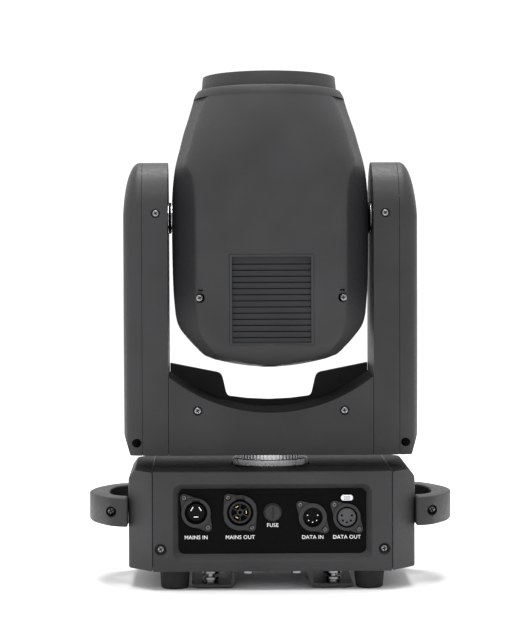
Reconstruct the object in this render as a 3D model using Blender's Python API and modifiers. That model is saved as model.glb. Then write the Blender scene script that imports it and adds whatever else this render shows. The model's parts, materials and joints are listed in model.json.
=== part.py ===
"""A moving head light: a base with sockets, a yoke that pans on it and a head that tilts in the yoke.

Lengths below are in millimetres and are turned into Blender's metres by MM.
X runs across the light, -Y points to its connector side and Z is up.
The origin is on the floor, under the pan axis.
"""

import math

import bmesh
import bpy
from mathutils import Matrix

MM = 0.001
GAP = 0.3                       # clearance left between neighbouring pieces

# ---------------------------------------------------------------- driving dimensions
BASE_HALF_DEPTH = 84.0
BASE_BOTTOM = 16.0
BASE_TOP = 96.0
BEZEL_HALF_WIDTH = 96.4
BEZEL_THICKNESS = 7.0
COVER_HALF_WIDTH = 116.6
COVER_CORNER_DEPTH = 24.0
COVER_WALL = 3.0
SHEET = 2.0                     # sheet metal of the chassis

HANDLE_BOTTOM = 50.0
HANDLE_TOP = 73.5
HANDLE_REACH = 150.4

FOOT_SPREAD_X = 79.0
FOOT_SPREAD_Y = 60.0

BRACKET_INNER_X = 30.0
BRACKET_OUTER_X = 65.8
BRACKET_HALF_LENGTH = 68.0
FASTENER_X = 50.0
FASTENER_Y = 54.0

YOKE_BOTTOM = 106.3
YOKE_HALF_DEPTH = 46.0
ARM_INNER_X = 84.0
ARM_SEAM_X = 105.0
ARM_OUTER_X = 120.5
YOKE_WALL = 2.5
TILT_AXIS_Z = 300.0
REST_TILT = math.radians(-3.75)  # the head leans back a little from upright

PULLEY_RADIUS = 28.6
PULLEY_TOP = 118.0
PINION_RADIUS = 8.0
BELT_THICKNESS = 1.5
PAN_MOTOR_X = 62.0
TILT_PULLEY_RADIUS = 26.0
TILT_MOTOR_Z = 195.0

# ---------------------------------------------------------------- finishes: colour, roughness, metallic
FINISHES = {
    "housing": ((0.055, 0.055, 0.058), 0.55, 0.0),
    "panel_black": ((0.006, 0.006, 0.007), 0.45, 0.0),
    "socket_black": ((0.03, 0.03, 0.032), 0.5, 0.0),
    "rubber": ((0.02, 0.02, 0.021), 0.8, 0.0),
    "steel": ((0.55, 0.55, 0.56), 0.3, 1.0),
    "bracket_paint": ((0.03, 0.03, 0.032), 0.6, 0.0),
    "aluminium": ((0.62, 0.63, 0.65), 0.4, 1.0),
    "motor": ((0.08, 0.08, 0.085), 0.5, 0.6),
    "glass": ((0.75, 0.8, 0.85), 0.05, 0.0),
    "display": ((0.01, 0.012, 0.02), 0.12, 0.0),
    "button": ((0.045, 0.045, 0.05), 0.5, 0.0),
}


# ---------------------------------------------------------------- helpers
def clear_scene():
    """Empty the scene and return the parts and cutters collections."""
    for obj in list(bpy.data.objects):
        bpy.data.objects.remove(obj, do_unlink=True)
    parts = bpy.data.collections.new("moving_head_light")
    cutters = bpy.data.collections.new("cutters")
    for collection in (parts, cutters):
        bpy.context.scene.collection.children.link(collection)
    return parts, cutters


PARTS, CUTTERS = clear_scene()

TO_REAR = (math.pi / 2, 0, 0)               # local Z to -Y, local Y to Z
TO_FRONT = (-math.pi / 2, 0, 0)             # local Z to +Y, local Y to -Z
TO_SIDE = (math.pi / 2, 0, math.pi / 2)     # local Z to +X, local X to Y, local Y to Z


def finish(node, finish_name):
    """Give a node its own material."""
    colour, roughness, metallic = FINISHES[finish_name]
    material = bpy.data.materials.new(node.name)
    material.use_nodes = True
    shader = material.node_tree.nodes["Principled BSDF"]
    shader.inputs["Base Color"].default_value = (*colour, 1.0)
    shader.inputs["Roughness"].default_value = roughness
    shader.inputs["Metallic"].default_value = metallic
    node.data.materials.clear()
    node.data.materials.append(material)
    return node


def place(node, at=(0, 0, 0), turn=(0, 0, 0), parent=None):
    """Put an object at a point in millimetres, in its parent's space."""
    node.location = [value * MM for value in at]
    node.rotation_euler = turn
    node.parent = parent
    return node


def as_tool(node):
    """Move an object to the cutters collection, out of the model."""
    PARTS.objects.unlink(node)
    CUTTERS.objects.link(node)
    node.hide_render = True
    node.display_type = "WIRE"
    return node


def combine(node, tool, operation="DIFFERENCE"):
    """Cut a node with a tool, or join the tool to it."""
    as_tool(tool)
    boolean = node.modifiers.new(operation.lower(), "BOOLEAN")
    boolean.operation = operation
    boolean.object = tool
    return node


def mesh_object(name, mesh):
    """Link a mesh as an object of the parts collection, shaded smooth except at its corners."""
    if len(mesh.polygons):
        mesh.shade_smooth()
        mesh.set_sharp_from_angle(angle=math.radians(35))
    node = bpy.data.objects.new(name, mesh)
    PARTS.objects.link(node)
    return node


def block(name, low, high, parent=None):
    """A box between two corners, with its origin at its middle."""
    mesh = bpy.data.meshes.new(name)
    shape = bmesh.new()
    bmesh.ops.create_cube(shape, size=1.0)
    for vert in shape.verts:
        for axis in range(3):
            vert.co[axis] *= (high[axis] - low[axis]) * MM
    shape.to_mesh(mesh)
    shape.free()
    middle = [(a + b) / 2 for a, b in zip(low, high)]
    return place(mesh_object(name, mesh), middle, parent=parent)


def cylinder(name, radius, low, high, at=(0, 0, 0), turn=(0, 0, 0), parent=None, segments=24):
    """A cylinder about its local Z, from low to high."""
    mesh = bpy.data.meshes.new(name)
    shape = bmesh.new()
    bmesh.ops.create_cone(shape, cap_ends=True, segments=segments, radius1=radius * MM,
                          radius2=radius * MM, depth=(high - low) * MM)
    bmesh.ops.translate(shape, verts=shape.verts, vec=(0, 0, (high + low) / 2 * MM))
    shape.to_mesh(mesh)
    shape.free()
    return place(mesh_object(name, mesh), at, turn, parent)


def turned(name, profile, at=(0, 0, 0), turn=(0, 0, 0), parent=None, steps=32, ring=False):
    """A profile of (radius, height) points turned about local Z, as a solid or as a ring."""
    count = len(profile)
    edges = [(i, (i + 1) % count) for i in range(count if ring else count - 1)]
    mesh = bpy.data.meshes.new(name)
    mesh.from_pydata([(r * MM, 0, z * MM) for r, z in profile], edges, [])
    node = mesh_object(name, mesh)
    screw = node.modifiers.new("turn", "SCREW")
    screw.steps = screw.render_steps = steps
    screw.use_merge_vertices = True
    screw.merge_threshold = 0.00005
    return place(node, at, turn, parent)


def outline(name, loops, low, high, turn=(0, 0, 0), at=(0, 0, 0), parent=None):
    """A flat outline with its holes as further loops, extruded along local Z from low to high."""
    curve = bpy.data.curves.new(name, "CURVE")
    curve.dimensions = "2D"
    curve.fill_mode = "BOTH"
    curve.extrude = (high - low) / 2 * MM
    for loop in loops:
        spline = curve.splines.new("POLY")
        spline.points.add(len(loop) - 1)
        for point, (x, y) in zip(spline.points, loop):
            point.co = (x * MM, y * MM, 0, 1)
        spline.use_cyclic_u = True
    guide = bpy.data.objects.new(name + "_outline", curve)
    CUTTERS.objects.link(guide)
    mesh = bpy.data.meshes.new_from_object(guide.evaluated_get(bpy.context.evaluated_depsgraph_get()))
    bpy.data.objects.remove(guide, do_unlink=True)
    mesh.name = name
    shape = bmesh.new()
    shape.from_mesh(mesh)
    bmesh.ops.remove_doubles(shape, verts=shape.verts, dist=0.000005)
    bmesh.ops.translate(shape, verts=shape.verts, vec=(0, 0, (high + low) / 2 * MM))
    bmesh.ops.recalc_face_normals(shape, faces=shape.faces)
    shape.to_mesh(mesh)
    shape.free()
    return place(mesh_object(name, mesh), at, turn, parent)


def bevel(node, width, segments=2):
    """Round the sharp edges of a node."""
    rounding = node.modifiers.new("round", "BEVEL")
    rounding.width = width * MM
    rounding.segments = segments
    rounding.limit_method = "ANGLE"
    rounding.angle_limit = math.radians(40)
    return node


def arc(centre, radius, start, end, count, squash=1.0):
    """Points on an arc, in degrees from +X, with its second axis scaled by squash."""
    angles = [math.radians(start + (end - start) * i / count) for i in range(count + 1)]
    return [(centre[0] + radius * math.cos(a), centre[1] + radius * squash * math.sin(a)) for a in angles]


def circle(centre, radius, count):
    """Points round a full circle."""
    return arc(centre, radius, 0, 360 * (count - 1) / count, count - 1)


def rectangle(low, high, radius=0.0, steps=3):
    """A rectangle between two corners, with rounded corners if a radius is given."""
    if not radius:
        return [low, (high[0], low[1]), high, (low[0], high[1])]
    corners = [((high[0] - radius, high[1] - radius), 0), ((low[0] + radius, high[1] - radius), 90),
               ((low[0] + radius, low[1] + radius), 180), ((high[0] - radius, low[1] + radius), 270)]
    return [point for centre, start in corners for point in arc(centre, radius, start, start + 90, steps)]


def mirrored(points):
    """The same outline on the other side of X = 0."""
    return [(-x, y) for x, y in reversed(points)]


def loft(name, rings, cap_last=False, parent=None, at=(0, 0, 0), turn=(0, 0, 0), closed=True):
    """An open skin through rings of matching points, in millimetres."""
    mesh = bpy.data.meshes.new(name)
    shape = bmesh.new()
    rows = [[shape.verts.new([value * MM for value in point]) for point in ring] for ring in rings]
    for upper, lower in zip(rows, rows[1:]):
        count = len(upper)
        for i in range(count if closed else count - 1):
            j = (i + 1) % count
            shape.faces.new((upper[i], upper[j], lower[j], lower[i]))
    if cap_last:
        shape.faces.new(rows[-1])
    bmesh.ops.recalc_face_normals(shape, faces=shape.faces)
    shape.to_mesh(mesh)
    shape.free()
    return place(mesh_object(name, mesh), at, turn, parent)


def thicken(node, wall):
    """Give a skin its wall, on its inner side."""
    solid = node.modifiers.new("wall", "SOLIDIFY")
    solid.thickness = wall * MM
    solid.offset = -1.0
    solid.use_even_offset = True
    return node


def pivot(name, at, turn=(0, 0, 0)):
    """An empty on a joint's axis, which carries the pieces that turn with it."""
    empty = bpy.data.objects.new(name, None)
    CUTTERS.objects.link(empty)
    return place(empty, at, turn)


# ---------------------------------------------------------------- base
def build_base_case():
    """The sheet-metal box of the base and the plastic covers round it."""
    half, low, high = BEZEL_HALF_WIDTH - GAP, BASE_BOTTOM, BASE_TOP - 4.0
    depth = BASE_HALF_DEPTH - BEZEL_THICKNESS - GAP
    shell = [rectangle((-half, low), (half, high)),
             rectangle((-half + SHEET, low + SHEET), (half - SHEET, high - SHEET))]
    chassis = outline("base_chassis", shell, -depth, depth, TO_REAR)
    combine(chassis, cylinder("cable_way", 20.0, high - 10, high + 10))
    finish(chassis, "steel")

    top = outline("base_top_cover", [rectangle((-half, -depth), (half, depth)), circle((0, 0), 33.0, 40)],
                  high + GAP, BASE_TOP)
    finish(top, "housing")

    rear = outline("rear_bezel", [rectangle((-half, low), (half, BASE_TOP))], 0, BEZEL_THICKNESS,
                   TO_REAR, at=(0, -BASE_HALF_DEPTH + BEZEL_THICKNESS, 0))
    mouth = [(x, -BASE_HALF_DEPTH - 2, z) for x, z in rectangle((-80.8, 23.5), (80.8, 87.2), 5)]
    throat = [(x, -BASE_HALF_DEPTH + 9, z) for x, z in rectangle((-74.6, 31.0), (74.6, 81.3), 5)]
    combine(rear, close_ends(loft("window", [mouth, throat])))
    finish(rear, "housing")

    front = outline("front_bezel", [rectangle((-half, low), (half, BASE_TOP)),
                                    rectangle((-66, 38), (6, 74)),
                                    *[circle(centre, 5.4, 16) for centre in button_centres()]],
                    -BEZEL_THICKNESS, 0, TO_REAR, at=(0, BASE_HALF_DEPTH - BEZEL_THICKNESS, 0))
    combine(front, block("recess", (-79, BASE_HALF_DEPTH - 2, 26), (79, BASE_HALF_DEPTH + 2, 86)))
    finish(front, "housing")


def close_ends(node):
    """Cap both open ends of a lofted tool."""
    shape = bmesh.new()
    shape.from_mesh(node.data)
    bmesh.ops.holes_fill(shape, edges=shape.edges)
    bmesh.ops.recalc_face_normals(shape, faces=shape.faces)
    shape.to_mesh(node.data)
    shape.free()
    return node


def button_centres():
    """Where the four menu buttons sit on the front, as (x, z)."""
    return [(x, z) for z in (66.0, 46.0) for x in (28.0, 52.0)]


def build_side_cover(side, name):
    """The moulded end of the base: chamfered corners in plan, hollow behind."""
    inner, outer = BEZEL_HALF_WIDTH, COVER_HALF_WIDTH
    near = BASE_HALF_DEPTH - COVER_CORNER_DEPTH
    corner = [(outer, near - 6), (outer - 1.2, near), (outer - 4.5, near + 5), (inner, BASE_HALF_DEPTH)]
    plan = [(x, -y) for x, y in reversed(corner)] + corner
    if side < 0:
        plan = mirrored(plan)
    cover = bevel(outline(name, [plan], BASE_BOTTOM, BASE_TOP), 2.5)
    left, right = sorted((side * (inner - 5), side * (outer - COVER_WALL)))
    low, high = BASE_BOTTOM + COVER_WALL, BASE_TOP - COVER_WALL - 1
    combine(cover, block("pocket", (left, -near, low), (right, near, high)))
    finish(cover, "housing")


def build_handle(side, name):
    """A D-shaped loop that lies flat beside the base, with its fixing hole in the near end."""
    root = COVER_HALF_WIDTH + GAP
    outer = [(root, 64.0), (123.0, 63.0), (131.0, 58.0), (140.0, 42.0), (146.5, 26.0), (HANDLE_REACH, 9.0)]
    inner = [(root, 44.0), (123.0, 40.5), (129.5, 30.0), (133.0, 14.0)]
    plan = [(x, -y) for x, y in outer] + list(reversed(outer)) + inner + [(x, -y) for x, y in reversed(inner)]
    if side < 0:
        plan = mirrored(plan)
    handle = bevel(outline(name, [plan], HANDLE_BOTTOM, HANDLE_TOP), 1.5)
    middle = (HANDLE_BOTTOM + HANDLE_TOP) / 2
    combine(handle, cylinder("fixing_hole", 4.5, 44, 70, (side * 128.0, 0, middle), TO_REAR, segments=16))
    finish(handle, "housing")


def build_feet():
    """Four tapered rubber feet."""
    for y, end in ((-FOOT_SPREAD_Y, "rear"), (FOOT_SPREAD_Y, "front")):
        for x, side in ((-FOOT_SPREAD_X, "left"), (FOOT_SPREAD_X, "right")):
            top = BASE_BOTTOM - GAP
            profile = [(0, top), (12.4, top), (11.2, 2.0), (9.6, 0), (0, 0)]
            finish(turned(f"foot_{end}_{side}", profile, (x, y, 0), steps=24), "rubber")


def build_brackets():
    """Two folded clamp brackets under the base and the quarter-turn fasteners that hold them."""
    inner, outer, top = BRACKET_INNER_X, BRACKET_OUTER_X, BASE_BOTTOM - GAP
    for side, label in ((-1, "left"), (1, "right")):
        section = [(inner, top), (inner, 5.0), (inner + 1.2, 2.2), (inner + 4.0, 1.0), (outer - 5, 1.0),
                   (outer, 3.5), (outer - 1.0, 4.5), (outer - 6, 4.0), (inner + 4.5, 4.0), (inner + 3.0, 5.5),
                   (inner + 3.0, top)]
        if side < 0:
            section = mirrored(section)
        reach = BRACKET_HALF_LENGTH
        bracket = outline(f"omega_bracket_{label}", [section], -reach, reach, TO_REAR)
        for y in (-FASTENER_Y, 0, FASTENER_Y):
            combine(bracket, cylinder("bolt_hole", 7.0, -5, 10, (side * FASTENER_X, y, 0), segments=20))
        finish(bracket, "bracket_paint")
        for y, end in ((-FASTENER_Y, "rear"), (FASTENER_Y, "front")):
            profile = [(0, top), (3.2, top), (3.2, 13.0), (6.6, 13.0), (6.6, 11.0), (3.2, 11.0), (3.2, 8.2),
                       (6.6, 8.2), (6.6, 1.4), (0, 1.4)]
            fastener = turned(f"bracket_fastener_{end}_{label}", profile, (side * FASTENER_X, y, 0), steps=14)
            finish(fastener, "steel")


def hull(circles, count=16):
    """The convex outline round several circles, each given as (centre, radius)."""
    points = sorted({(round(x, 6), round(y, 6)) for c, r in circles for x, y in circle(c, r, count)})

    def half(ordered):
        chain = []
        for p in ordered:
            while len(chain) > 1 and ((chain[-1][0] - chain[-2][0]) * (p[1] - chain[-2][1])
                                      - (chain[-1][1] - chain[-2][1]) * (p[0] - chain[-2][0])) <= 0:
                chain.pop()
            chain.append(p)
        return chain[:-1]

    return half(points) + half(points[::-1])


SOCKETS = {
    # name: (x, z, ring radius, bore radius, lug offset x, lug offset z, insert radius, depth)
    "power_in_socket": (-61.5, 63.0, 11.75, 8.6, 9.5, 12.0, 0.0, 26.0),
    "power_out_socket": (-26.0, 63.0, 13.4, 10.0, 9.5, 12.0, 3.5, 26.0),
    "data_in_socket": (32.5, 59.0, 11.25, 7.7, 9.9, 9.9, 0.0, 22.0),
    "data_out_socket": (60.0, 59.0, 11.0, 8.4, 9.9, 9.9, 8.0, 22.0),
}
PLATE_FRONT = -BASE_HALF_DEPTH + BEZEL_THICKNESS + GAP      # Y of the connector plate's outer face
SOCKET_BACK = PLATE_FRONT - GAP                             # Y where a socket's flange seats


def build_connector_panel():
    """The black plate in the rear recess and the sockets on it."""
    holes = [circle((x, z), 11.0 if ring > 11.5 else 10.0, 18) for x, z, ring, *_ in SOCKETS.values()]
    holes.append(circle((0.2, 63.0), 6.4, 16))
    plate = outline("connector_plate", [rectangle((-93, 18.6), (93, 89.4)), *holes], -1.5, 0, TO_REAR,
                    at=(0, PLATE_FRONT, 0))
    finish(plate, "panel_black")
    for name, (x, z, ring, bore, lug_x, lug_z, insert, depth) in SOCKETS.items():
        barrel = 10.6 if ring > 11.5 else 9.6
        seat = (x, SOCKET_BACK, z)
        floor, lip = -8.0, 3.4
        middle = [(0, lip - 1.6), (insert, lip - 1.6), (insert, floor)] if insert else [(0, floor)]
        profile = middle + [(bore, floor), (bore, lip), (ring - 1.0, lip), (ring, 2.0), (ring, 0.6),
                            (barrel, 0.6), (barrel, -depth), (0, -depth)]
        socket = turned(name, profile, seat, TO_REAR, steps=18)
        ears = hull([((0, 0), ring - 0.3), ((-lug_x, lug_z), 3.3), ((lug_x, -lug_z), 3.3)])
        flange = outline("flange", [ears, circle((0, 0), barrel - 0.3, 18)], 0, 2.0, TO_REAR, seat)
        combine(socket, flange, "UNION")
        finish(socket, "socket_black")

    latch = block("data_out_latch", (55.0, -81.0, 71.8), (65.0, SOCKET_BACK - 1.3, 77.2))
    finish(bevel(latch, 0.6), "aluminium")

    seat = (0.2, SOCKET_BACK, 63.0)
    holder = [(7.35, 1.4), (7.35, 0), (6.1, 0), (6.1, -20), (5.0, -20), (5.0, 1.4)]
    finish(turned("fuse_holder", holder, seat, TO_REAR, steps=24, ring=True), "socket_black")
    cap = [(0, 4.0), (5.6, 4.0), (6.3, 3.4), (6.3, 1.7), (4.6, 1.7), (4.6, -17), (0, -17)]
    knob = turned("fuse_cap", cap, seat, TO_REAR, steps=24)
    slot = block("slot", (-0.6, SOCKET_BACK - 6, 59.0), (1.0, SOCKET_BACK - 3.0, 67.0))
    finish(combine(knob, slot), "socket_black")


def build_menu_and_electronics():
    """The display with its board, the four menu buttons and the power supply."""
    front = BASE_HALF_DEPTH - 2.0
    display = block("display_module", (-66 + GAP, 75.0, 38 + GAP), (6 - GAP, front - 0.6, 74 - GAP))
    combine(display, block("board", (-74, 72.0, 32), (14, 76.0, 80)), "UNION")
    finish(display, "display")
    names = ("menu_button_mode", "menu_button_up", "menu_button_enter", "menu_button_down")
    for name, (x, z) in zip(names, button_centres()):
        profile = [(0, 1.5), (4.2, 1.5), (5.0, 0.8), (5.0, -5.5), (0, -5.5)]
        finish(turned(name, profile, (x, front, z), TO_FRONT, steps=16), "button")
    supply = block("power_supply", (-70, -38, BASE_BOTTOM + SHEET + GAP), (70, 62, 62))
    finish(bevel(supply, 1.5, 1), "aluminium")


def build_pan_pulley():
    """The hollow toothed post on the base that the yoke turns round."""
    seat = BASE_TOP - 4.0 + GAP
    profile = [(14.0, PULLEY_TOP), (PULLEY_RADIUS, PULLEY_TOP), (PULLEY_RADIUS, 101.0), (31.0, 101.0),
               (31.0, seat), (14.0, seat)]
    finish(turned("pan_pulley", profile, steps=36, ring=True), "steel")


def build_base():
    build_base_case()
    for side, label in ((-1, "left"), (1, "right")):
        build_side_cover(side, f"side_cover_{label}")
        build_handle(side, f"handle_{label}")
    build_feet()
    build_brackets()
    build_connector_panel()
    build_menu_and_electronics()
    build_pan_pulley()


# ---------------------------------------------------------------- yoke
def arm_outline(half_depth, top, bottom, count=12):
    """The side view of an arm as (y, z): straight sides under a rounded top."""
    crown = arc((0, TILT_AXIS_Z), half_depth, 0, 180, count, (top - TILT_AXIS_Z) / half_depth)
    return [(half_depth, bottom)] + crown + [(-half_depth, bottom)]


def build_yoke_frame(yoke):
    """The folded metal frame of the yoke, with its hollow spindle in the pan post."""
    outer, inner, floor = 91.0, 88.0, PULLEY_TOP + 1.0
    crown = TILT_AXIS_Z + 24
    section = [(-outer, floor), (outer, floor), (outer, crown), (inner, crown), (inner, floor + 3),
               (-inner, floor + 3), (-inner, crown), (-outer, crown)]
    frame = outline("yoke_frame", [section], -24, 24, TO_REAR, parent=yoke)
    combine(frame, cylinder("bearing_seats", 12.5, -100, 100, (0, 0, TILT_AXIS_Z), TO_SIDE, yoke))
    for name, low, high, at, turn in (("pan_shaft_hole", 110, 130, (PAN_MOTOR_X, 0, 0), (0, 0, 0)),
                                      ("tilt_shaft_hole", 80, 100, (0, 0, TILT_MOTOR_Z), TO_SIDE)):
        combine(frame, cylinder(name, 6.0, low, high, at, turn, yoke, segments=16))
    profile = [(9.0, floor + 4), (15.0, floor + 4), (15.0, floor), (13.6, floor), (13.6, 86.0), (9.0, 86.0)]
    spindle = turned("spindle", profile, parent=yoke, steps=24, ring=True)
    combine(frame, cylinder("spindle_way", 9.2, 80, 130, parent=yoke))
    combine(frame, spindle, "UNION")
    finish(frame, "aluminium")


def build_arm(yoke, side, label):
    """One arm of the yoke: the inner channel and the pillow-shaped outer cover."""
    start, end = (ARM_INNER_X, ARM_SEAM_X) if side > 0 else (-ARM_SEAM_X, -ARM_INNER_X)
    full = arm_outline(YOKE_HALF_DEPTH, TILT_AXIS_Z + YOKE_HALF_DEPTH, YOKE_BOTTOM)
    channel = outline(f"arm_cover_{label}", [full], start, end, TO_SIDE, parent=yoke)
    room = arm_outline(YOKE_HALF_DEPTH - YOKE_WALL, TILT_AXIS_Z + YOKE_HALF_DEPTH - YOKE_WALL,
                       YOKE_BOTTOM + YOKE_WALL)
    hollow = ((start + YOKE_WALL, end + 5) if side > 0 else (start - 5, end - YOKE_WALL))
    combine(channel, outline("arm_room", [room], *hollow, TO_SIDE, parent=yoke))
    combine(channel, cylinder("hub_hole", 14.0, start - 2, end + 2, (0, 0, TILT_AXIS_Z), TO_SIDE, yoke))
    combine(channel, block("frame_way", (start - 1, -26, 112), (end + 1, 26, 128), yoke))
    finish(channel, "housing")

    rings = []
    for share in (0.0, 0.15, 0.45, 0.7, 0.9, 1.0):
        across = ARM_SEAM_X + GAP + (ARM_OUTER_X - ARM_SEAM_X - GAP) * share
        fall = 1 - math.sqrt(1 - max(0.0, (share - 0.15) / 0.85) ** 2)
        half = YOKE_HALF_DEPTH - 15.0 * fall
        top = TILT_AXIS_Z + YOKE_HALF_DEPTH - 40.0 * fall
        bottom = YOKE_BOTTOM + max(0.0, share - 0.65) / 0.35 * 17.0
        rings.append([(side * across, y, z) for y, z in arm_outline(half, top, bottom)])
    cover = thicken(loft(f"arm_side_cover_{label}", rings, cap_last=True, parent=yoke), YOKE_WALL)
    finish(cover, "housing")


def beam_top(x):
    """Height of the crossbeam's hollowed top at a distance from the middle."""
    middle, end = 141.3, 171.0
    sweep = (ARM_INNER_X ** 2 + (end - middle) ** 2) / (2 * (end - middle))
    return middle + sweep - math.sqrt(sweep ** 2 - x ** 2)


def build_crossbeam(yoke):
    """The two covers of the beam between the arms."""
    half = ARM_INNER_X - GAP
    steps = [half * i / 8 for i in range(-8, 9)]
    rim = [(x, beam_top(x)) for x in reversed(steps)]
    rear = outline("crossbeam_cover_rear", [[(-half, YOKE_BOTTOM), (half, YOKE_BOTTOM), *rim]],
                   -41.7, YOKE_HALF_DEPTH, TO_REAR, parent=yoke)
    room = [(x * 1.1, beam_top(x) - YOKE_WALL) for x in reversed(steps)]
    floor = YOKE_BOTTOM + 2.0
    combine(rear, outline("beam_room", [[(-half * 1.1, floor), (half * 1.1, floor), *room]],
                          -50, YOKE_HALF_DEPTH - YOKE_WALL, TO_REAR, parent=yoke))
    combine(rear, cylinder("post_hole", 32.0, 100, 115, parent=yoke, segments=40))
    finish(rear, "housing")

    hump = [(half, 177.6), (46.5, 170.0), (42.0, 168.0), (39.0, 164.0), (35.5, 149.5), (18.0, 147.2)]
    face = [(-half, YOKE_BOTTOM), (half, YOKE_BOTTOM), *hump, (0, 146.4), *mirrored(hump)]
    finish(outline("crossbeam_cover_front", [face], -YOKE_HALF_DEPTH, -42.0, TO_REAR, parent=yoke), "housing")


def belt_loops(pinion_centre, pulley_centre, pulley_radius):
    """The outer and inner outlines of a toothed belt round its pulley and its pinion."""
    pulley, pinion = pulley_radius + 0.6, PINION_RADIUS + 0.4
    return [hull([(pulley_centre, pulley + thick), (pinion_centre, pinion + thick)], 24)
            for thick in (BELT_THICKNESS, 0.0)]


def build_drives(yoke):
    """The pan and tilt motors with their pinions and belts."""
    floor = PULLEY_TOP + 4.0 + GAP
    low, high = PULLEY_TOP - 9.0, PULLEY_TOP - 2.0
    pan = block("pan_motor", (PAN_MOTOR_X - 20, -20, floor), (PAN_MOTOR_X + 20, 20, floor + 20), yoke)
    shaft = cylinder("pan_shaft", 2.5, low - 0.5, floor + 1, (PAN_MOTOR_X, 0, 0), parent=yoke, segments=12)
    combine(pan, shaft, "UNION")
    finish(pan, "motor")
    pinion = cylinder("pan_pinion", PINION_RADIUS, low, high, (PAN_MOTOR_X, 0, 0), parent=yoke)
    bore = cylinder("pan_bore", 2.8, low - 2, high + 2, (PAN_MOTOR_X, 0, 0), parent=yoke, segments=12)
    finish(combine(pinion, bore), "steel")
    loops = belt_loops((PAN_MOTOR_X, 0), (0, 0), PULLEY_RADIUS)
    finish(outline("pan_belt", loops, low + 0.5, high - 0.5, parent=yoke), "rubber")

    wall = 91.0 + GAP
    tilt = block("tilt_motor", (wall, -20, TILT_MOTOR_Z - 20), (wall + 14.5, 20, TILT_MOTOR_Z + 20), yoke)
    shaft = cylinder("tilt_shaft", 2.5, wall + 14, 115.0, (0, 0, TILT_MOTOR_Z), TO_SIDE, yoke, 12)
    combine(tilt, shaft, "UNION")
    finish(tilt, "motor")
    low, high = 107.5, 114.5
    pinion = cylinder("tilt_pinion", PINION_RADIUS, low, high, (0, 0, TILT_MOTOR_Z), TO_SIDE, yoke)
    bore = cylinder("tilt_bore", 2.8, low - 2, high + 2, (0, 0, TILT_MOTOR_Z), TO_SIDE, yoke, 12)
    finish(combine(pinion, bore), "steel")
    loops = belt_loops((0, TILT_MOTOR_Z), (0, TILT_AXIS_Z), TILT_PULLEY_RADIUS)
    finish(outline("tilt_belt", loops, low + 0.5, high - 0.5, TO_SIDE, parent=yoke), "rubber")


def build_yoke():
    yoke = pivot("pan_pivot", (0, 0, 0))
    build_yoke_frame(yoke)
    for side, label in ((-1, "left"), (1, "right")):
        build_arm(yoke, side, label)
    build_crossbeam(yoke)
    build_drives(yoke)


# ---------------------------------------------------------------- head, in its own space: the tilt axis is X
CAP_SEAM = 97.0
HEAD_SECTIONS = [
    # height, half width, half depth, squareness (2 is an ellipse)
    (CAP_SEAM, 62.8, 62.8, 2.0),
    (83.0, 66.9, 66.9, 2.3),
    (70.0, 71.1, 70.0, 2.6),
    (57.0, 74.4, 72.5, 2.9),
    (44.0, 77.7, 74.0, 3.3),
    (30.0, 79.8, 75.0, 3.7),
    (10.0, 81.0, 76.0, 4.0),
    (-42.0, 80.6, 76.0, 4.2),
    (-69.0, 79.3, 76.0, 4.4),
    (-89.0, 76.0, 75.5, 4.6),
    (-102.0, 66.5, 75.2, 5.0),
    (-108.0, 60.7, 74.8, 5.0),
    (-115.0, 52.5, 71.5, 5.0),
    (-119.0, 38.0, 67.5, 5.0),
    (-122.0, 21.3, 63.5, 5.0),
    (-123.2, 8.0, 60.0, 5.0),
]
HEAD_WALL = 2.5
VENT = (-34.0, 34.0, -107.1, -34.2)         # left, right, bottom and top of the rear vent


def head_ring(section, side, count=15):
    """Half of a head section, front (side 1) or rear (side -1), as a flattened oval."""
    height, half_width, half_depth, square = section
    arch = []
    for i in range(1, count):
        turn = math.pi * i / count
        x = half_width * math.copysign(abs(math.cos(turn)) ** (2 / square), math.cos(turn))
        arch.append((x, half_depth * math.sin(turn) ** (2 / square)))
    straight = [(half_width, GAP / 2), (half_width, 2.0)]
    half = straight + arch + mirrored(straight)
    return [(x, side * y, height) for x, y in half]


def build_head_shells(head):
    """The rear and front halves of the head's casing and the vent grille in the rear one."""
    shells = {}
    for side, name in ((-1, "head_rear_shell"), (1, "head_front_shell")):
        rings = [head_ring(section, side) for section in HEAD_SECTIONS]
        shell = thicken(loft(name, rings, cap_last=True, parent=head, closed=False), HEAD_WALL)
        combine(shell, cylinder("shaft_way", 13.5, -100, 100, turn=TO_SIDE, parent=head))
        finish(shell, "housing")
        shells[name] = shell
    left, right, bottom, top = VENT
    combine(shells["head_rear_shell"], block("vent_window", (left, -90, bottom), (right, -60, top), head))
    slots = [rectangle((left + 4, z), (right - 4, z + 2.0)) for z in
             [bottom + 4 + 4.9 * i for i in range(13)]]
    plate = rectangle((left + GAP, bottom + GAP), (right - GAP, top - GAP))
    grille = outline("rear_vent_grille", [plate, *slots], 0, 2.2, TO_REAR, (0, -71.9, 0), head)
    finish(grille, "housing")


def build_head_front(head):
    """The round cap with its lens hood, and the front lens."""
    seam = CAP_SEAM + GAP
    profile = [(51.5, 116.5), (54.2, 116.5), (56.0, 105.5), (59.6, 104.4), (61.8, 101.5), (62.8, seam),
               (50.0, seam), (50.0, 102.5), (51.5, 104.0)]
    finish(turned("lens_hood", profile, parent=head, steps=36, ring=True), "housing")
    lens = [(0, 111.0), (18.0, 110.2), (34.0, 108.2), (46.0, 105.6), (49.6, 104.4), (49.6, 99.5), (0, 99.5)]
    finish(turned("front_lens", lens, parent=head, steps=24), "glass")


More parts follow.
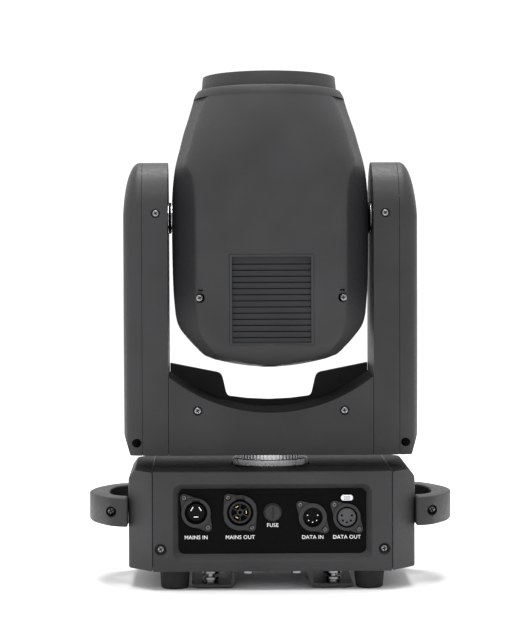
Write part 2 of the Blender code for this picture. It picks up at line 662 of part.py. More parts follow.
def build_head_frame(head):
    """The metal frame inside the head and the shafts that carry it."""
    loops = [rectangle((-66, -40), (66, 70)), rectangle((-63, -37), (63, 67))]
    frame = outline("head_frame", loops, -22, 22, TO_REAR, parent=head)
    combine(frame, cylinder("light_way", 18.5, -60, 90, parent=head))
    combine(frame, cylinder("cable_ways", 7.0, -90, 90, turn=TO_SIDE, parent=head, segments=16))
    finish(frame, "aluminium")

    flange = [(12.0, 69.5), (20.0, 69.5), (20.0, 66.3), (7.0, 66.3)]
    left = [(7.0, 97.0), (12.0, 97.0), *flange]
    shaft = turned("tilt_shaft_left", left, turn=(0, -math.pi / 2, 0), parent=head, steps=20, ring=True)
    finish(shaft, "steel")
    rim = TILT_PULLEY_RADIUS
    right = [(7.0, 116.0), (rim, 116.0), (rim, 106.5), (12.0, 106.5), *flange]
    pulley = turned("tilt_pulley", right, turn=(0, math.pi / 2, 0), parent=head, steps=28, ring=True)
    finish(pulley, "steel")


def wheel(name, x, z, hole_radius, head, finish_name):
    """A thin disc with round windows, on a spindle beside the light's axis."""
    loops = [circle((0, 0), 38.0, 28)]
    loops += [circle((24 * math.cos(a), 24 * math.sin(a)), hole_radius, 10)
              for a in [math.radians(360 / 7 * i) for i in range(7)]]
    disc = outline(name, loops, -1.0, 1.0, at=(x, 0, z), parent=head)
    hub = cylinder(name + "_hub", 6.0, -3.0, 3.0, (x, 0, z), parent=head, segments=16)
    finish(combine(disc, hub, "UNION"), finish_name)


def build_optics(head):
    """Heat sink, lamp, colour and gobo wheels, focus lens and fan."""
    fin, pitch, fins = 2.25, 11.25, 9
    half = (fin + pitch * (fins - 1)) / 2
    comb = [(-half, -50.0), (half, -50.0)]
    for right in [half - pitch * i for i in range(fins - 1)]:
        comb += [(right, -96.0), (right - fin, -96.0), (right - fin, -56.0), (right - pitch, -56.0)]
    comb += [(-half + fin, -96.0), (-half, -96.0)]
    finish(outline("heat_sink", [comb], -30, 44, TO_REAR, parent=head), "aluminium")
    lamp = [(0, -40.5), (8.0, -41.0), (14.0, -43.5), (16.0, -46.0), (26.0, -46.0), (26.0, -49.7), (0, -49.7)]
    finish(turned("led_engine", lamp, parent=head, steps=24), "display")
    wheel("colour_wheel", 24.0, -14.0, 8.5, head, "glass")
    wheel("gobo_wheel", -24.0, 8.0, 7.5, head, "steel")
    holder = [(0, 44.0), (20.0, 42.0), (24.0, 41.0), (24.0, 43.0), (28.0, 43.0), (28.0, 33.0), (24.0, 33.0),
              (24.0, 36.0), (0, 36.0)]
    finish(turned("focus_carriage", holder, parent=head, steps=20), "motor")

    centre = (0, -58.0, -67.0)
    fan = cylinder("cooling_fan", 13.0, -6.0, 6.0, centre, TO_REAR, head)
    for i in range(6):
        blade = block("blade", (-1.0, 8.0, -4.5), (1.0, 32.0, 4.5))
        blade.data.transform(blade_turn(i))
        combine(fan, place(blade, centre, TO_REAR, head), "UNION")
    finish(fan, "panel_black")


def blade_turn(index):
    """The matrix that pitches one fan blade and swings it to its place round the hub."""
    reach = Matrix.Translation((0, 0.020, 0))
    pitch = Matrix.Rotation(math.radians(35), 4, "Y")
    return Matrix.Rotation(math.tau * index / 6, 4, "Z") @ reach @ pitch


def build_head():
    head = pivot("tilt_pivot", (0, 0, TILT_AXIS_Z), (REST_TILT, 0, 0))
    build_head_shells(head)
    build_head_front(head)
    build_head_frame(head)
    build_optics(head)


build_base()
build_yoke()
build_head()
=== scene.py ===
"""The looks of the moving head light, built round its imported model."""

import json
import math

import bmesh
import bpy
from mathutils import Matrix, Vector


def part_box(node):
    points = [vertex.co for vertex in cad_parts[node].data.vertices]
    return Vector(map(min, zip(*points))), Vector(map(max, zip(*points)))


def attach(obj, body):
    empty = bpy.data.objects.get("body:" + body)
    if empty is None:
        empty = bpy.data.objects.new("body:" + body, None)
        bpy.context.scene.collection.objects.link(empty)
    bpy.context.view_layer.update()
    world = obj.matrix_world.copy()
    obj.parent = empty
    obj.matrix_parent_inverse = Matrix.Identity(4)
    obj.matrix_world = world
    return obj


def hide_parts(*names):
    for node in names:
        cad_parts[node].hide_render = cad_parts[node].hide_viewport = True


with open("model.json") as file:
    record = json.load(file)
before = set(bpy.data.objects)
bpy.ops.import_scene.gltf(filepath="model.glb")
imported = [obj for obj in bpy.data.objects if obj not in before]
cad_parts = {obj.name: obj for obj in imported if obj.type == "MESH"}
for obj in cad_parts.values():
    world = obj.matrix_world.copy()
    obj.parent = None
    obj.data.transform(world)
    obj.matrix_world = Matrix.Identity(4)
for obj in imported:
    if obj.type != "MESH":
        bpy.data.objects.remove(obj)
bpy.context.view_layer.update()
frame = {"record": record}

MM = 0.001
JOINTS = {joint["name"]: joint for joint in frame["record"]["behaviour"]["joints"]}
TILT_AXIS_Z = JOINTS["tilt"]["pos_m"][2] / MM
LIGHT_AXIS = JOINTS["focus_slide"]["axis"]
REST_TILT = math.atan2(-LIGHT_AXIS[1], LIGHT_AXIS[2])
HEAD_SPACE = Matrix.Translation((0, 0, TILT_AXIS_Z * MM)) @ Matrix.Rotation(REST_TILT, 4, "X")

TO_REAR = Matrix.Rotation(math.pi / 2, 4, "X")                  # local Z to -Y, local Y to Z
TO_FRONT = Matrix.Rotation(-math.pi / 2, 4, "X")                # local Z to +Y, local Y to -Z
TO_FLOOR = Matrix.Rotation(math.pi, 4, "X")                     # local Z to -Z
TO_SIDE = Matrix.Rotation(math.pi / 2, 4, "Z") @ TO_REAR        # local Z to +X, local X to Y, local Y to Z
GAP = 0.3                                                       # clearance between neighbouring pieces
SIDES = ((-1, "left"), (1, "right"))


def limits(node):
    """A CAD node's lowest and highest corners in millimetres."""
    low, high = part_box(node)
    return [v / MM for v in low], [v / MM for v in high]


# ---------------------------------------------------------------- materials
def node_tree(name):
    material = bpy.data.materials.new(name)
    material.use_nodes = True
    return material, material.node_tree, material.node_tree.nodes["Principled BSDF"]


def noise(tree, scale, detail=4, rough=0.55, coords=None):
    texture = tree.nodes.new("ShaderNodeTexNoise")
    texture.inputs["Scale"].default_value = scale
    texture.inputs["Detail"].default_value = detail
    texture.inputs["Roughness"].default_value = rough
    place = coords or tree.nodes.new("ShaderNodeTexCoord").outputs["Object"]
    tree.links.new(place, texture.inputs["Vector"])
    return texture


def ramp(tree, source, low, high):
    """Map the busy middle of a noise factor to a colour or grey between low and high."""
    node = tree.nodes.new("ShaderNodeValToRGB")
    for stop, place, colour in zip(node.color_ramp.elements, (0.35, 0.65), (low, high)):
        stop.position = place
        stop.color = (*colour, 1)
    tree.links.new(source, node.inputs["Fac"])
    return node.outputs["Color"]


def bump(tree, heights, shader, strength, distance):
    node = tree.nodes.new("ShaderNodeBump")
    node.inputs["Strength"].default_value = strength
    node.inputs["Distance"].default_value = distance
    tree.links.new(heights, node.inputs["Height"])
    tree.links.new(node.outputs["Normal"], shader.inputs["Normal"])


def moulded(name, colour, roughness, grain=2600, depth=0.00012, spread=0.12, specular=0.5):
    """Moulded plastic: spark-eroded grain, slight flow variation in tone and gloss."""
    material, tree, shader = node_tree(name)
    flow = noise(tree, 14, 3)
    low = [c * (1 - spread) for c in colour]
    high = [c * (1 + spread) for c in colour]
    tree.links.new(ramp(tree, flow.outputs["Fac"], low, high), shader.inputs["Base Color"])
    sheen = noise(tree, 320, 3)
    gloss = ramp(tree, sheen.outputs["Fac"], [roughness - 0.05] * 3, [roughness + 0.06] * 3)
    tree.links.new(gloss, shader.inputs["Roughness"])
    shader.inputs["Specular IOR Level"].default_value = specular
    bump(tree, noise(tree, grain, 2, 0.6).outputs["Fac"], shader, 0.35, depth)
    return material


MIX_FROM, MIX_TO, MIX_RESULT = 6, 7, 2                           # the Mix node's colour sockets


def shade_painted_plastic(name, colour, shade_colour, roughness):
    """Moulded plastic with painted shade: it darkens to a second colour where the shade attribute is 1,
    standing in for the shade on the head's sides.
    """
    material = moulded(name, colour, roughness, specular=0.15)
    tree = material.node_tree
    shader = tree.nodes["Principled BSDF"]
    plain = shader.inputs["Base Color"].links[0].from_socket
    zone = tree.nodes.new("ShaderNodeAttribute")
    zone.attribute_name = "painted_side_shade"
    blend = tree.nodes.new("ShaderNodeMix")
    blend.data_type = "RGBA"
    blend.inputs[MIX_TO].default_value = (*shade_colour, 1)
    tree.links.new(zone.outputs["Fac"], blend.inputs[0])
    tree.links.new(plain, blend.inputs[MIX_FROM])
    tree.links.new(blend.outputs[MIX_RESULT], shader.inputs["Base Color"])
    return material


def metal(name, colour, roughness, brushed=None):
    """Metal with fine marks, drawn out along one axis when brushed is given."""
    material, tree, shader = node_tree(name)
    shader.inputs["Metallic"].default_value = 1
    coords = tree.nodes.new("ShaderNodeTexCoord").outputs["Object"]
    if brushed:
        mapping = tree.nodes.new("ShaderNodeMapping")
        mapping.inputs["Scale"].default_value = brushed
        tree.links.new(coords, mapping.inputs["Vector"])
        coords = mapping.outputs["Vector"]
    marks = noise(tree, 900, 3, coords=coords)
    low = [c * 0.86 for c in colour]
    tree.links.new(ramp(tree, marks.outputs["Fac"], low, colour), shader.inputs["Base Color"])
    smudges = noise(tree, 90, 3)
    gloss = ramp(tree, smudges.outputs["Fac"], [roughness * 0.8] * 3, [min(1, roughness * 1.35)] * 3)
    tree.links.new(gloss, shader.inputs["Roughness"])
    bump(tree, marks.outputs["Fac"], shader, 0.3, 0.00003)
    return material


def coated_glass(name, tint):
    """Lens glass with a faint coating."""
    material, tree, shader = node_tree(name)
    shader.inputs["Base Color"].default_value = (*tint, 1)
    shader.inputs["Transmission Weight"].default_value = 0.85
    shader.inputs["IOR"].default_value = 1.5
    shader.inputs["Coat Weight"].default_value = 0.6
    haze = noise(tree, 60, 2)
    gloss = ramp(tree, haze.outputs["Fac"], [0.021] * 3, [0.048] * 3)
    tree.links.new(gloss, shader.inputs["Roughness"])
    return material


HOUSING = moulded("housing_plastic", (0.031, 0.031, 0.032), 0.48, specular=0.15)
# painted shade: the head plastic turns near-black on the sides beyond the ridges, for the shade where they
# face away from the light
HEAD_HOUSING_SHADED = shade_painted_plastic("head_plastic_with_painted_shade", (0.031, 0.031, 0.032), (0.011, 0.0105, 0.0115), 0.48)
HOUSING_DARK = moulded("housing_plastic_dark", (0.022, 0.0225, 0.0235), 0.55, specular=0.12)
# painted shade: the near-black colour of the crossbeam's top, which lies in the head's shadow
BEAM_TOP_SHADE = moulded("beam_top_painted_shade", (0.022, 0.022, 0.0215), 0.9, specular=0.05)
PANEL = moulded("panel_powder_coat", (0.0022, 0.0022, 0.0024), 0.5, 1500, 0.00006, 0.05, specular=0.04)
# painted shade: near-black for the base top, which lies in the shadow of the yoke and head
BASE_TOP_SHADE = moulded("base_top_painted_shade", (0.009, 0.009, 0.0095), 0.62, specular=0.08)
SOCKET = moulded("socket_nylon", (0.021, 0.021, 0.022), 0.45, 2000, 0.00005, specular=0.2)
SOCKET_DARK = moulded("socket_cavity", (0.003, 0.003, 0.0032), 0.4, 2000, 0.00004, specular=0.08)
RUBBER = moulded("foot_rubber", (0.020, 0.020, 0.0205), 0.72, 1200, 0.0002, specular=0.15)
BRACKET = moulded("bracket_powder_coat", (0.016, 0.016, 0.017), 0.48, 1700, 0.00018)
BELT = moulded("belt_rubber", (0.015, 0.015, 0.016), 0.7, 1500, 0.0001)
INK = moulded("panel_ink", (0.80, 0.80, 0.80), 0.6, 3000, 0.00001, 0.02)
INSERT = moulded("socket_insert", (0.055, 0.055, 0.057), 0.5, 2000, 0.00004, specular=0.2)
STEEL = metal("screw_steel", (0.26, 0.26, 0.265), 0.26)
DARK_STEEL = metal("blackened_steel", (0.16, 0.155, 0.15), 0.34)
CHASSIS = metal("zinc_plated_sheet", (0.55, 0.56, 0.57), 0.42)
NICKEL = metal("nickel_plate", (0.72, 0.71, 0.68), 0.20)
BRUSHED = metal("machined_steel", (0.75, 0.75, 0.76), 0.24, brushed=(1, 1, 12))
ALUMINIUM = metal("mill_aluminium", (0.66, 0.67, 0.69), 0.38, brushed=(1, 12, 1))
GOLD = metal("gold_contact", (0.85, 0.62, 0.25), 0.25)
MOTOR = moulded("motor_case", (0.02, 0.02, 0.022), 0.4, 1500, 0.0001)
GLASS = coated_glass("front_glass", (0.86, 0.9, 0.94))
SCREEN = moulded("display_glass", (0.006, 0.008, 0.012), 0.12, 500, 0.000005, 0.2)
LAMP = moulded("led_phosphor", (0.75, 0.62, 0.12), 0.4, 1500, 0.0001)


# ---------------------------------------------------------------- shapes; lengths in millimetres
def linked(name, data):
    """A new object in the scene."""
    piece = bpy.data.objects.new(name, data)
    bpy.context.scene.collection.objects.link(piece)
    return piece


def add(name, mesh, material, space=None, smooth=40):
    """A finished mesh as a shown object."""
    if space is not None:
        mesh.transform(space)
    mesh.shade_smooth()
    mesh.set_sharp_from_angle(angle=math.radians(smooth))
    piece = linked(name, mesh)
    piece.data.materials.append(material)
    return piece


def declare(piece, body, nodes=()):
    """Let a piece ride on a body and stand for CAD nodes."""
    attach(piece, body)
    if nodes:
        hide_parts(*nodes)
    return piece


def to_mesh(name, shape, turn=None):
    """Write a bmesh in millimetres to a mesh in metres, turned by a matrix."""
    bmesh.ops.recalc_face_normals(shape, faces=shape.faces)
    bmesh.ops.scale(shape, verts=shape.verts, vec=(MM, MM, MM))
    mesh = bpy.data.meshes.new(name)
    shape.to_mesh(mesh)
    shape.free()
    if turn is not None:
        mesh.transform(turn)
    return mesh


def evaluated_mesh(piece):
    """What an object's curve or modifiers make, as a mesh."""
    bpy.context.view_layer.update()
    return bpy.data.meshes.new_from_object(piece.evaluated_get(bpy.context.evaluated_depsgraph_get()))


def apply_modifiers(piece):
    """Keep what a piece's modifiers make as its mesh."""
    mesh = evaluated_mesh(piece)
    piece.modifiers.clear()
    piece.data = mesh
    return piece


def shift(x, y, z):
    """A move in millimetres as a matrix in metres."""
    return Matrix.Translation((x * MM, y * MM, z * MM))


def box_mesh(low, high, round_by=0, segments=2, turn=None):
    """A box between two corners, its edges rounded."""
    shape = bmesh.new()
    bmesh.ops.create_cube(shape, size=1)
    for vert in shape.verts:
        vert.co = [(a + b) / 2 + c * (b - a) for a, b, c in zip(low, high, vert.co)]
    if round_by:
        bmesh.ops.bevel(shape, geom=shape.edges, offset=round_by, segments=segments, affect="EDGES",
                        profile=0.5)
    return to_mesh("box", shape, turn)


def turned_mesh(profile, steps=64, ring=False, turn=None):
    """A profile of (radius, height) points turned about Z; a closed loop when ring is set."""
    shape = bmesh.new()
    rows = []
    for radius, height in profile:
        spots = circle((0, 0), radius, steps) if radius else [(0, 0)]
        rows.append([shape.verts.new((x, y, height)) for x, y in spots])
    pairs = list(zip(rows, rows[1:])) + ([(rows[-1], rows[0])] if ring else [])
    for upper, lower in pairs:
        for i in range(steps if len(upper) + len(lower) > 2 else 0):
            j = i + 1
            corners = [row[k % len(row)] for row, k in ((upper, i), (upper, j), (lower, j), (lower, i))]
            shape.faces.new(list(dict.fromkeys(corners)))
    return to_mesh("turned", shape, turn)


def flat_mesh(loops, low, high, turn=None):
    """A flat outline with holes, extruded along Z from low to high."""
    curve = bpy.data.curves.new("outline", "CURVE")
    curve.dimensions = "2D"
    curve.fill_mode = "BOTH"
    curve.extrude = (high - low) / 2
    for loop in loops:
        spline = curve.splines.new("POLY")
        spline.points.add(len(loop) - 1)
        for point, (x, y) in zip(spline.points, loop):
            point.co = (x, y, 0, 1)
        spline.use_cyclic_u = True
    guide = linked("outline", curve)
    mesh = evaluated_mesh(guide)
    bpy.data.objects.remove(guide, do_unlink=True)
    shape = bmesh.new()
    shape.from_mesh(mesh)
    bpy.data.meshes.remove(mesh)
    bmesh.ops.remove_doubles(shape, verts=shape.verts, dist=0.002)
    bmesh.ops.dissolve_limit(shape, angle_limit=0.002, verts=shape.verts, edges=shape.edges)
    bmesh.ops.translate(shape, verts=shape.verts, vec=(0, 0, (high + low) / 2))
    return to_mesh("flat", shape, turn)


def skin_mesh(loops, around=True, joined=False, caps=()):
    """A skin through rows of matching points: around closes each row, joined the last row to the first."""
    shape = bmesh.new()
    rows = [[shape.verts.new(point) for point in loop] for loop in loops]
    for upper, lower in list(zip(rows, rows[1:])) + ([(rows[-1], rows[0])] if joined else []):
        for i in range(len(upper) if around else len(upper) - 1):
            j = (i + 1) % len(upper)
            shape.faces.new((upper[i], upper[j], lower[j], lower[i]))
    for index in caps:
        shape.faces.new(rows[index])
    return to_mesh("skin", shape)


def merged(meshes):
    """Several meshes as one, each given alone or as (mesh, matrix)."""
    shape = bmesh.new()
    for item in meshes:
        mesh, matrix = item if isinstance(item, tuple) else (item, Matrix.Identity(4))
        part = mesh.copy()
        part.transform(matrix)
        shape.from_mesh(part)
        bpy.data.meshes.remove(part)
    mesh = bpy.data.meshes.new("merged")
    shape.to_mesh(mesh)
    shape.free()
    return mesh


def cut_with(piece, tools, operation="DIFFERENCE"):
    """Cut a piece with several meshes, or join them to it, and keep the result as its mesh."""
    for tool in tools:
        cutter = linked("cutter", tool)
        boolean = piece.modifiers.new("cut", "BOOLEAN")
        boolean.operation = operation
        boolean.object = cutter
        apply_modifiers(piece)
        bpy.data.objects.remove(cutter, do_unlink=True)
    piece.data.shade_smooth()
    piece.data.set_sharp_from_angle(angle=math.radians(40))
    return piece


def solidified(mesh, wall):
    """An open skin given its wall on its inner side."""
    piece = linked("wall", mesh)
    solid = piece.modifiers.new("wall", "SOLIDIFY")
    solid.thickness = wall * MM
    solid.offset = -1
    solid.use_even_offset = True
    result = evaluated_mesh(piece)
    bpy.data.objects.remove(piece, do_unlink=True)
    return result


def soften(piece, width, segments=3, angle=40):
    """Round a piece's edges."""
    rounding = piece.modifiers.new("round", "BEVEL")
    rounding.width = width * MM
    rounding.segments = segments
    rounding.harden_normals = False
    rounding.limit_method = "ANGLE"
    rounding.angle_limit = math.radians(angle)
    return piece


def arc(centre, radius, start, end, count, squash=1):
    angles = [math.radians(start + (end - start) * i / count) for i in range(count + 1)]
    return [(centre[0] + radius * math.cos(a), centre[1] + radius * squash * math.sin(a)) for a in angles]


def circle(centre, radius, count=32):
    return arc(centre, radius, 0, 360 * (count - 1) / count, count - 1)


def rectangle(low, high, radius=0, steps=6):
    if not radius:
        return [low, (high[0], low[1]), high, (low[0], high[1])]
    corners = [((high[0] - radius, high[1] - radius), 0), ((low[0] + radius, high[1] - radius), 90),
               ((low[0] + radius, low[1] + radius), 180), ((high[0] - radius, low[1] + radius), 270)]
    return [point for centre, start in corners for point in arc(centre, radius, start, start + 90, steps)]


def mirrored(points):
    return [(-x, y) for x, y in reversed(points)]


def sided(points, side):
    """An outline drawn for the right, on the side that is asked for."""
    return points if side > 0 else mirrored(points)


def hull(circles, count=48):
    """The convex outline round several circles, each (centre, radius)."""
    points = sorted({(round(x, 5), round(y, 5)) for c, r in circles for x, y in circle(c, r, count)})

    def half(ordered):
        chain = []
        for p in ordered:
            while len(chain) > 1 and ((chain[-1][0] - chain[-2][0]) * (p[1] - chain[-2][1])
                                      - (chain[-1][1] - chain[-2][1]) * (p[0] - chain[-2][0])) <= 0:
                chain.pop()
            chain.append(p)
        return chain[:-1]

    return half(points) + half(points[::-1])


def between(table, at):
    """Smoothly interpolate rows of (place, value, ...) sorted from high to low place."""
    for i, (upper, lower) in enumerate(zip(table, table[1:])):
        if at >= lower[0] or i == len(table) - 2:
            before = table[max(0, i - 1)]
            after = table[min(len(table) - 1, i + 2)]
            t = min(1, max(0, (upper[0] - at) / (upper[0] - lower[0])))
            values = []
            for k in range(1, len(upper)):
                span = upper[0] - lower[0]
                m0 = (lower[k] - before[k]) / max(1e-6, before[0] - lower[0]) * span
                m1 = (after[k] - upper[k]) / max(1e-6, upper[0] - after[0]) * span
                values.append((2 * t**3 - 3 * t**2 + 1) * upper[k] + (t**3 - 2 * t**2 + t) * m0
                              + (-2 * t**3 + 3 * t**2) * lower[k] + (t**3 - t**2) * m1)
            return values
    return list(table[-1][1:])


# ---------------------------------------------------------------- screws
def make_screw():
    """A cross-recess pan head of radius 1 that faces +Z, with its seat at Z = 0."""
    dome, depth = 0.36, 0.75
    profile = [(0, dome), (0.45, dome * 0.94), (0.75, dome * 0.72), (0.95, dome * 0.35), (1, 0), (1, -0.6),
               (0, -0.6)]
    head = add("screw_blank", turned_mesh(profile, 28), STEEL)
    tools = []
    for wide, deep in ((0.66, 0.2), (0.2, 0.66)):
        tools.append(skin_mesh([[(x * wide * share, y * deep * share, z)
                                 for x, y in ((-1, -1), (1, -1), (1, 1), (-1, 1))]
                                for z, share in ((dome + 0.4, 1), (dome - depth, 0.55))], caps=(0, -1)))
    cut_with(head, tools)
    mesh = head.data
    bpy.data.objects.remove(head, do_unlink=True)
    return mesh


SCREW = make_screw()


def screws(name, places, radius, direction, body, material=STEEL, space=None):
    """Screw heads at several places, as one piece on a body."""
    size = Matrix.Scale(radius, 4)
    parts = [(SCREW, shift(*place) @ direction @ size @ Matrix.Rotation(0.5 + 1.3 * i, 4, "Z"))
             for i, place in enumerate(places)]
    return declare(add(name, merged(parts), material, space), body)


def screw_well(radius, floor, depth, place, direction, reach=40):
    """The tool for a well with a tapered floor, sunk by a depth below a place and open for a reach above."""
    profile = [(0, reach), (radius, reach), (radius, 0), (floor, -depth), (0, -depth)]
    return turned_mesh(profile, 32, turn=shift(*place) @ direction)


# ---------------------------------------------------------------- head
# height, half width, half depth and how square the section is
HEAD_SECTIONS = ((97, 62.8, 62.8, 2), (83, 66.9, 66.9, 2.3), (70, 71.1, 70, 2.6), (57, 74.4, 72.5, 2.9),
                 (44, 77.7, 74, 3.3), (30, 79.8, 75, 3.7), (10, 81, 76, 4), (-42, 80.6, 76, 4.2),
                 (-69, 79.3, 76, 4.4), (-89, 76, 75.5, 4.6), (-102, 66.5, 75.2, 5), (-108, 60.7, 74.8, 5),
                 (-115, 52.5, 71.5, 5), (-119, 38, 67.5, 5), (-122, 21.3, 63.5, 5), (-123.2, 8, 60, 5))
# height and half width of the ridge between the rear face and the side zone
RIDGES = ((99, 50.3), (79, 58.3), (54.5, 64.8), (40, 68.2), (30, 63), (10, 60.5), (-40, 59.8), (-89, 59),
          (-102, 55), (-108, 50), (-115, 43), (-119, 30), (-122, 16), (-123.2, 6))
HEAD_TOP, HEAD_BOTTOM = HEAD_SECTIONS[0][0], HEAD_SECTIONS[-1][0]
WALL = 2.5
VENT = (-34, 34, -107.1, -34.2)                                 # left, right, bottom, top
HEAD_SCREW = (57.8, -68.9)                                      # rear screws, as (x, z) from the tilt axis
FRONT_SCREW_X, FRONT_SCREW_HEIGHTS = 52, (-68.9, 44)


def head_depth(x, height):
    """How far the casing reaches from the tilt axis, front or rear, at a point of its face."""
    width, depth, power = between(HEAD_SECTIONS, height)
    return depth * (1 - min(1, abs(x) / width) ** power) ** (1 / power)


def head_row(height):
    """One half section of the head at a height: points from +X round the back to -X, local millimetres."""
    width = between(HEAD_SECTIONS, height)[0]
    ridge = min(between(RIDGES, height)[0], width * 0.93)
    rim = width * 0.988
    rim_y, ridge_y = head_depth(rim, height), head_depth(ridge, height)
    side = [(width, GAP / 2), (width, 2)]
    side += [(width + (rim - width) * t, 2 + (rim_y - 2) * t) for t in (0.35, 0.7)]
    side += [(rim + (ridge - rim) * i / 8, rim_y + (ridge_y - rim_y) * i / 8) for i in range(9)]
    steps = 36
    face = [ridge - 2 * ridge * i / steps for i in range(1, steps)]
    points = side + [(x, head_depth(x, height)) for x in face] + mirrored(side)
    return [(x, -y, height) for x, y in points]


def head_rows():
    steps = [HEAD_TOP, 96.2, 94, 91, *range(88, 40, -4), 41.5, 40.2, 39, 37, 34, 30, 25, 18, 10,
             *range(0, -88, -8)]
    steps += [-85, -88, -91, -94.5, -98, -101.5, -105, -108, -111, -114, -117, -119, -121, -122.3,
              HEAD_BOTTOM]
    return [head_row(height) for height in steps]


def paint_side_shade(mesh):
    """Painted shade: mark how far each point lies in the side zones beyond the ridges, which the head
    material colours darker for their shade where they turn away from the light.
    """
    zone = mesh.attributes.new("painted_side_shade", "FLOAT", "POINT")
    for vert, value in zip(mesh.vertices, zone.data):
        x, y, height = (c / MM for c in vert.co)
        (ridge,) = between(RIDGES, height)
        beyond = min(1, max(0, (abs(x) - ridge + 0.4) / 2.4))
        under = min(1, max(0, (39 - height) / 9))
        above = min(1, max(0, (height + 100) / 40))
        value.value = beyond * under * above


def half_shell(name, turn, tools, node):
    """One half of the head's casing; turn makes the rear half the front one."""
    mesh = solidified(skin_mesh(head_rows(), around=False), WALL)
    if turn:
        mesh.transform(Matrix.Rotation(math.pi, 4, "Z"))
    piece = add(name, mesh, HEAD_HOUSING_SHADED)
    cut_with(piece, tools)
    paint_side_shade(piece.data)
    piece.data.transform(HEAD_SPACE)
    piece.data.set_sharp_from_angle(angle=math.radians(24))
    declare(piece, "head", (node,))


def make_head_shells():
    vent = flat_mesh([rectangle((VENT[0], VENT[2]), (VENT[1], VENT[3]), 1, 3)], 40, 100, TO_REAR)
    shaft = flat_mesh([circle((0, 0), 13.5, 48)], -100, 100, TO_SIDE)
    x, z = HEAD_SCREW
    wells = [screw_well(4.4, 3.4, 2, (side * x, 0.4 - head_depth(x, z), z), TO_REAR) for side in (-1, 1)]
    half_shell("head_shell_rear", False, [vent, shaft.copy()] + wells, "head_rear_shell")
    x = FRONT_SCREW_X
    wells = [screw_well(4.4, 3.4, 2, (side * x, head_depth(x, z) - 0.4, z), TO_FRONT)
             for side in (-1, 1) for z in FRONT_SCREW_HEIGHTS]
    half_shell("head_shell_front", True, [shaft] + wells, "head_front_shell")


make_head_shells()


LOUVRES = 13
LOUVRE_PITCH = 4.92


def make_vent_grille():
    """The raised frame of the rear vent and its louvre panel: a tall first blade and thirteen more."""
    left, right, bottom, top = VENT
    outer = rectangle((left + 0.2, bottom + 0.2), (right - 0.2, top - 0.2), 0.9, 3)
    inner = rectangle((left + 2.3, bottom + 1.5), (right - 2.3, top - 1.9), 0.4, 3)
    rim = add("vent_frame", flat_mesh([outer, inner], 70.6, 76.6, TO_REAR), HOUSING)
    for vert in rim.data.vertices:
        # follows the face, which falls back lower down
        vert.co.y += (top * MM - vert.co.z) * 0.022
    soften(rim, 0.45, 2)
    blades = [(top - 1.9, -74.6)]
    height = top - 1.9 - 6.3
    for i in range(LOUVRES):
        blades += [(height + 0.75, -73.5), (height + 0.7, -70.9), (height, -70.9), (height - 0.05, -74.3)]
        height -= LOUVRE_PITCH
    blades += [(bottom + 1.5, -73.6), (bottom + 1.5, -70.2), (top - 1.9, -70.2)]
    panel = flat_mesh([[(y, z) for z, y in blades]], left + 2.4, right - 2.4, TO_SIDE)
    for piece in (rim, add("vent_louvres", panel, HOUSING_DARK, smooth=20)):
        piece.data.transform(HEAD_SPACE)
        declare(piece, "head", ("rear_vent_grille",))


def make_lens_hood():
    """The cap ring and its hood: the seam to the shells opens only beyond the ridges at the sides."""
    steps = 144
    profile = [(51.6, 116), (51.9, 116.4), (52.3, 116.5), (54.3, 116.5), (54.75, 116.4), (55, 116),
               (55.95, 106.3), (56.1, 105.6), (56.5, 105.2), (58.7, 104.75), (59.3, 104.5), (59.8, 104),
               (61, 102.1), (61.9, 100.3), (62.4, 98.9), (62.8, None), (60.4, None), (60.3, 101), (52, 103.6)]
    loops = []
    for radius, height in profile:                              # a height of None is the seam
        loop = []
        for x, y in circle((0, 0), radius, steps):
            seam = HEAD_TOP + (0.55 if abs(x) > 0.80 * radius else 0)
            loop.append((x, y, seam if height is None else height))
        loops.append(loop)
    hood = add("hood_and_cap", skin_mesh(loops, joined=True), HOUSING, HEAD_SPACE, smooth=28)
    declare(hood, "head", ("lens_hood",))
    profile = [(51.4, 105), (51.4, 103.9), (49.9, 103.9), (49.9, 102.2), (49.4, 102.2), (49.4, 105),
               (50.2, 105.5)]
    ring = add("lens_trim_ring", turned_mesh(profile, 96, ring=True), PANEL, HEAD_SPACE)
    declare(ring, "head")


def make_front_lens():
    """The large plano-convex front lens."""
    low, edge, high = 99.6, 103, 110.5
    rim = 49.2
    sweep = (rim ** 2 + (high - edge) ** 2) / (2 * (high - edge))
    reaches = [rim * math.sin(math.radians(90 * i / 14)) for i in range(15)]
    crown = [(r, high - sweep + math.sqrt(sweep ** 2 - r ** 2)) for r in reaches]
    lens = turned_mesh(crown + [(rim, edge - 0.8), (rim, low), (0, low)], 96)
    declare(add("front_lens_glass", lens, GLASS, HEAD_SPACE, smooth=30), "head", ("front_lens",))


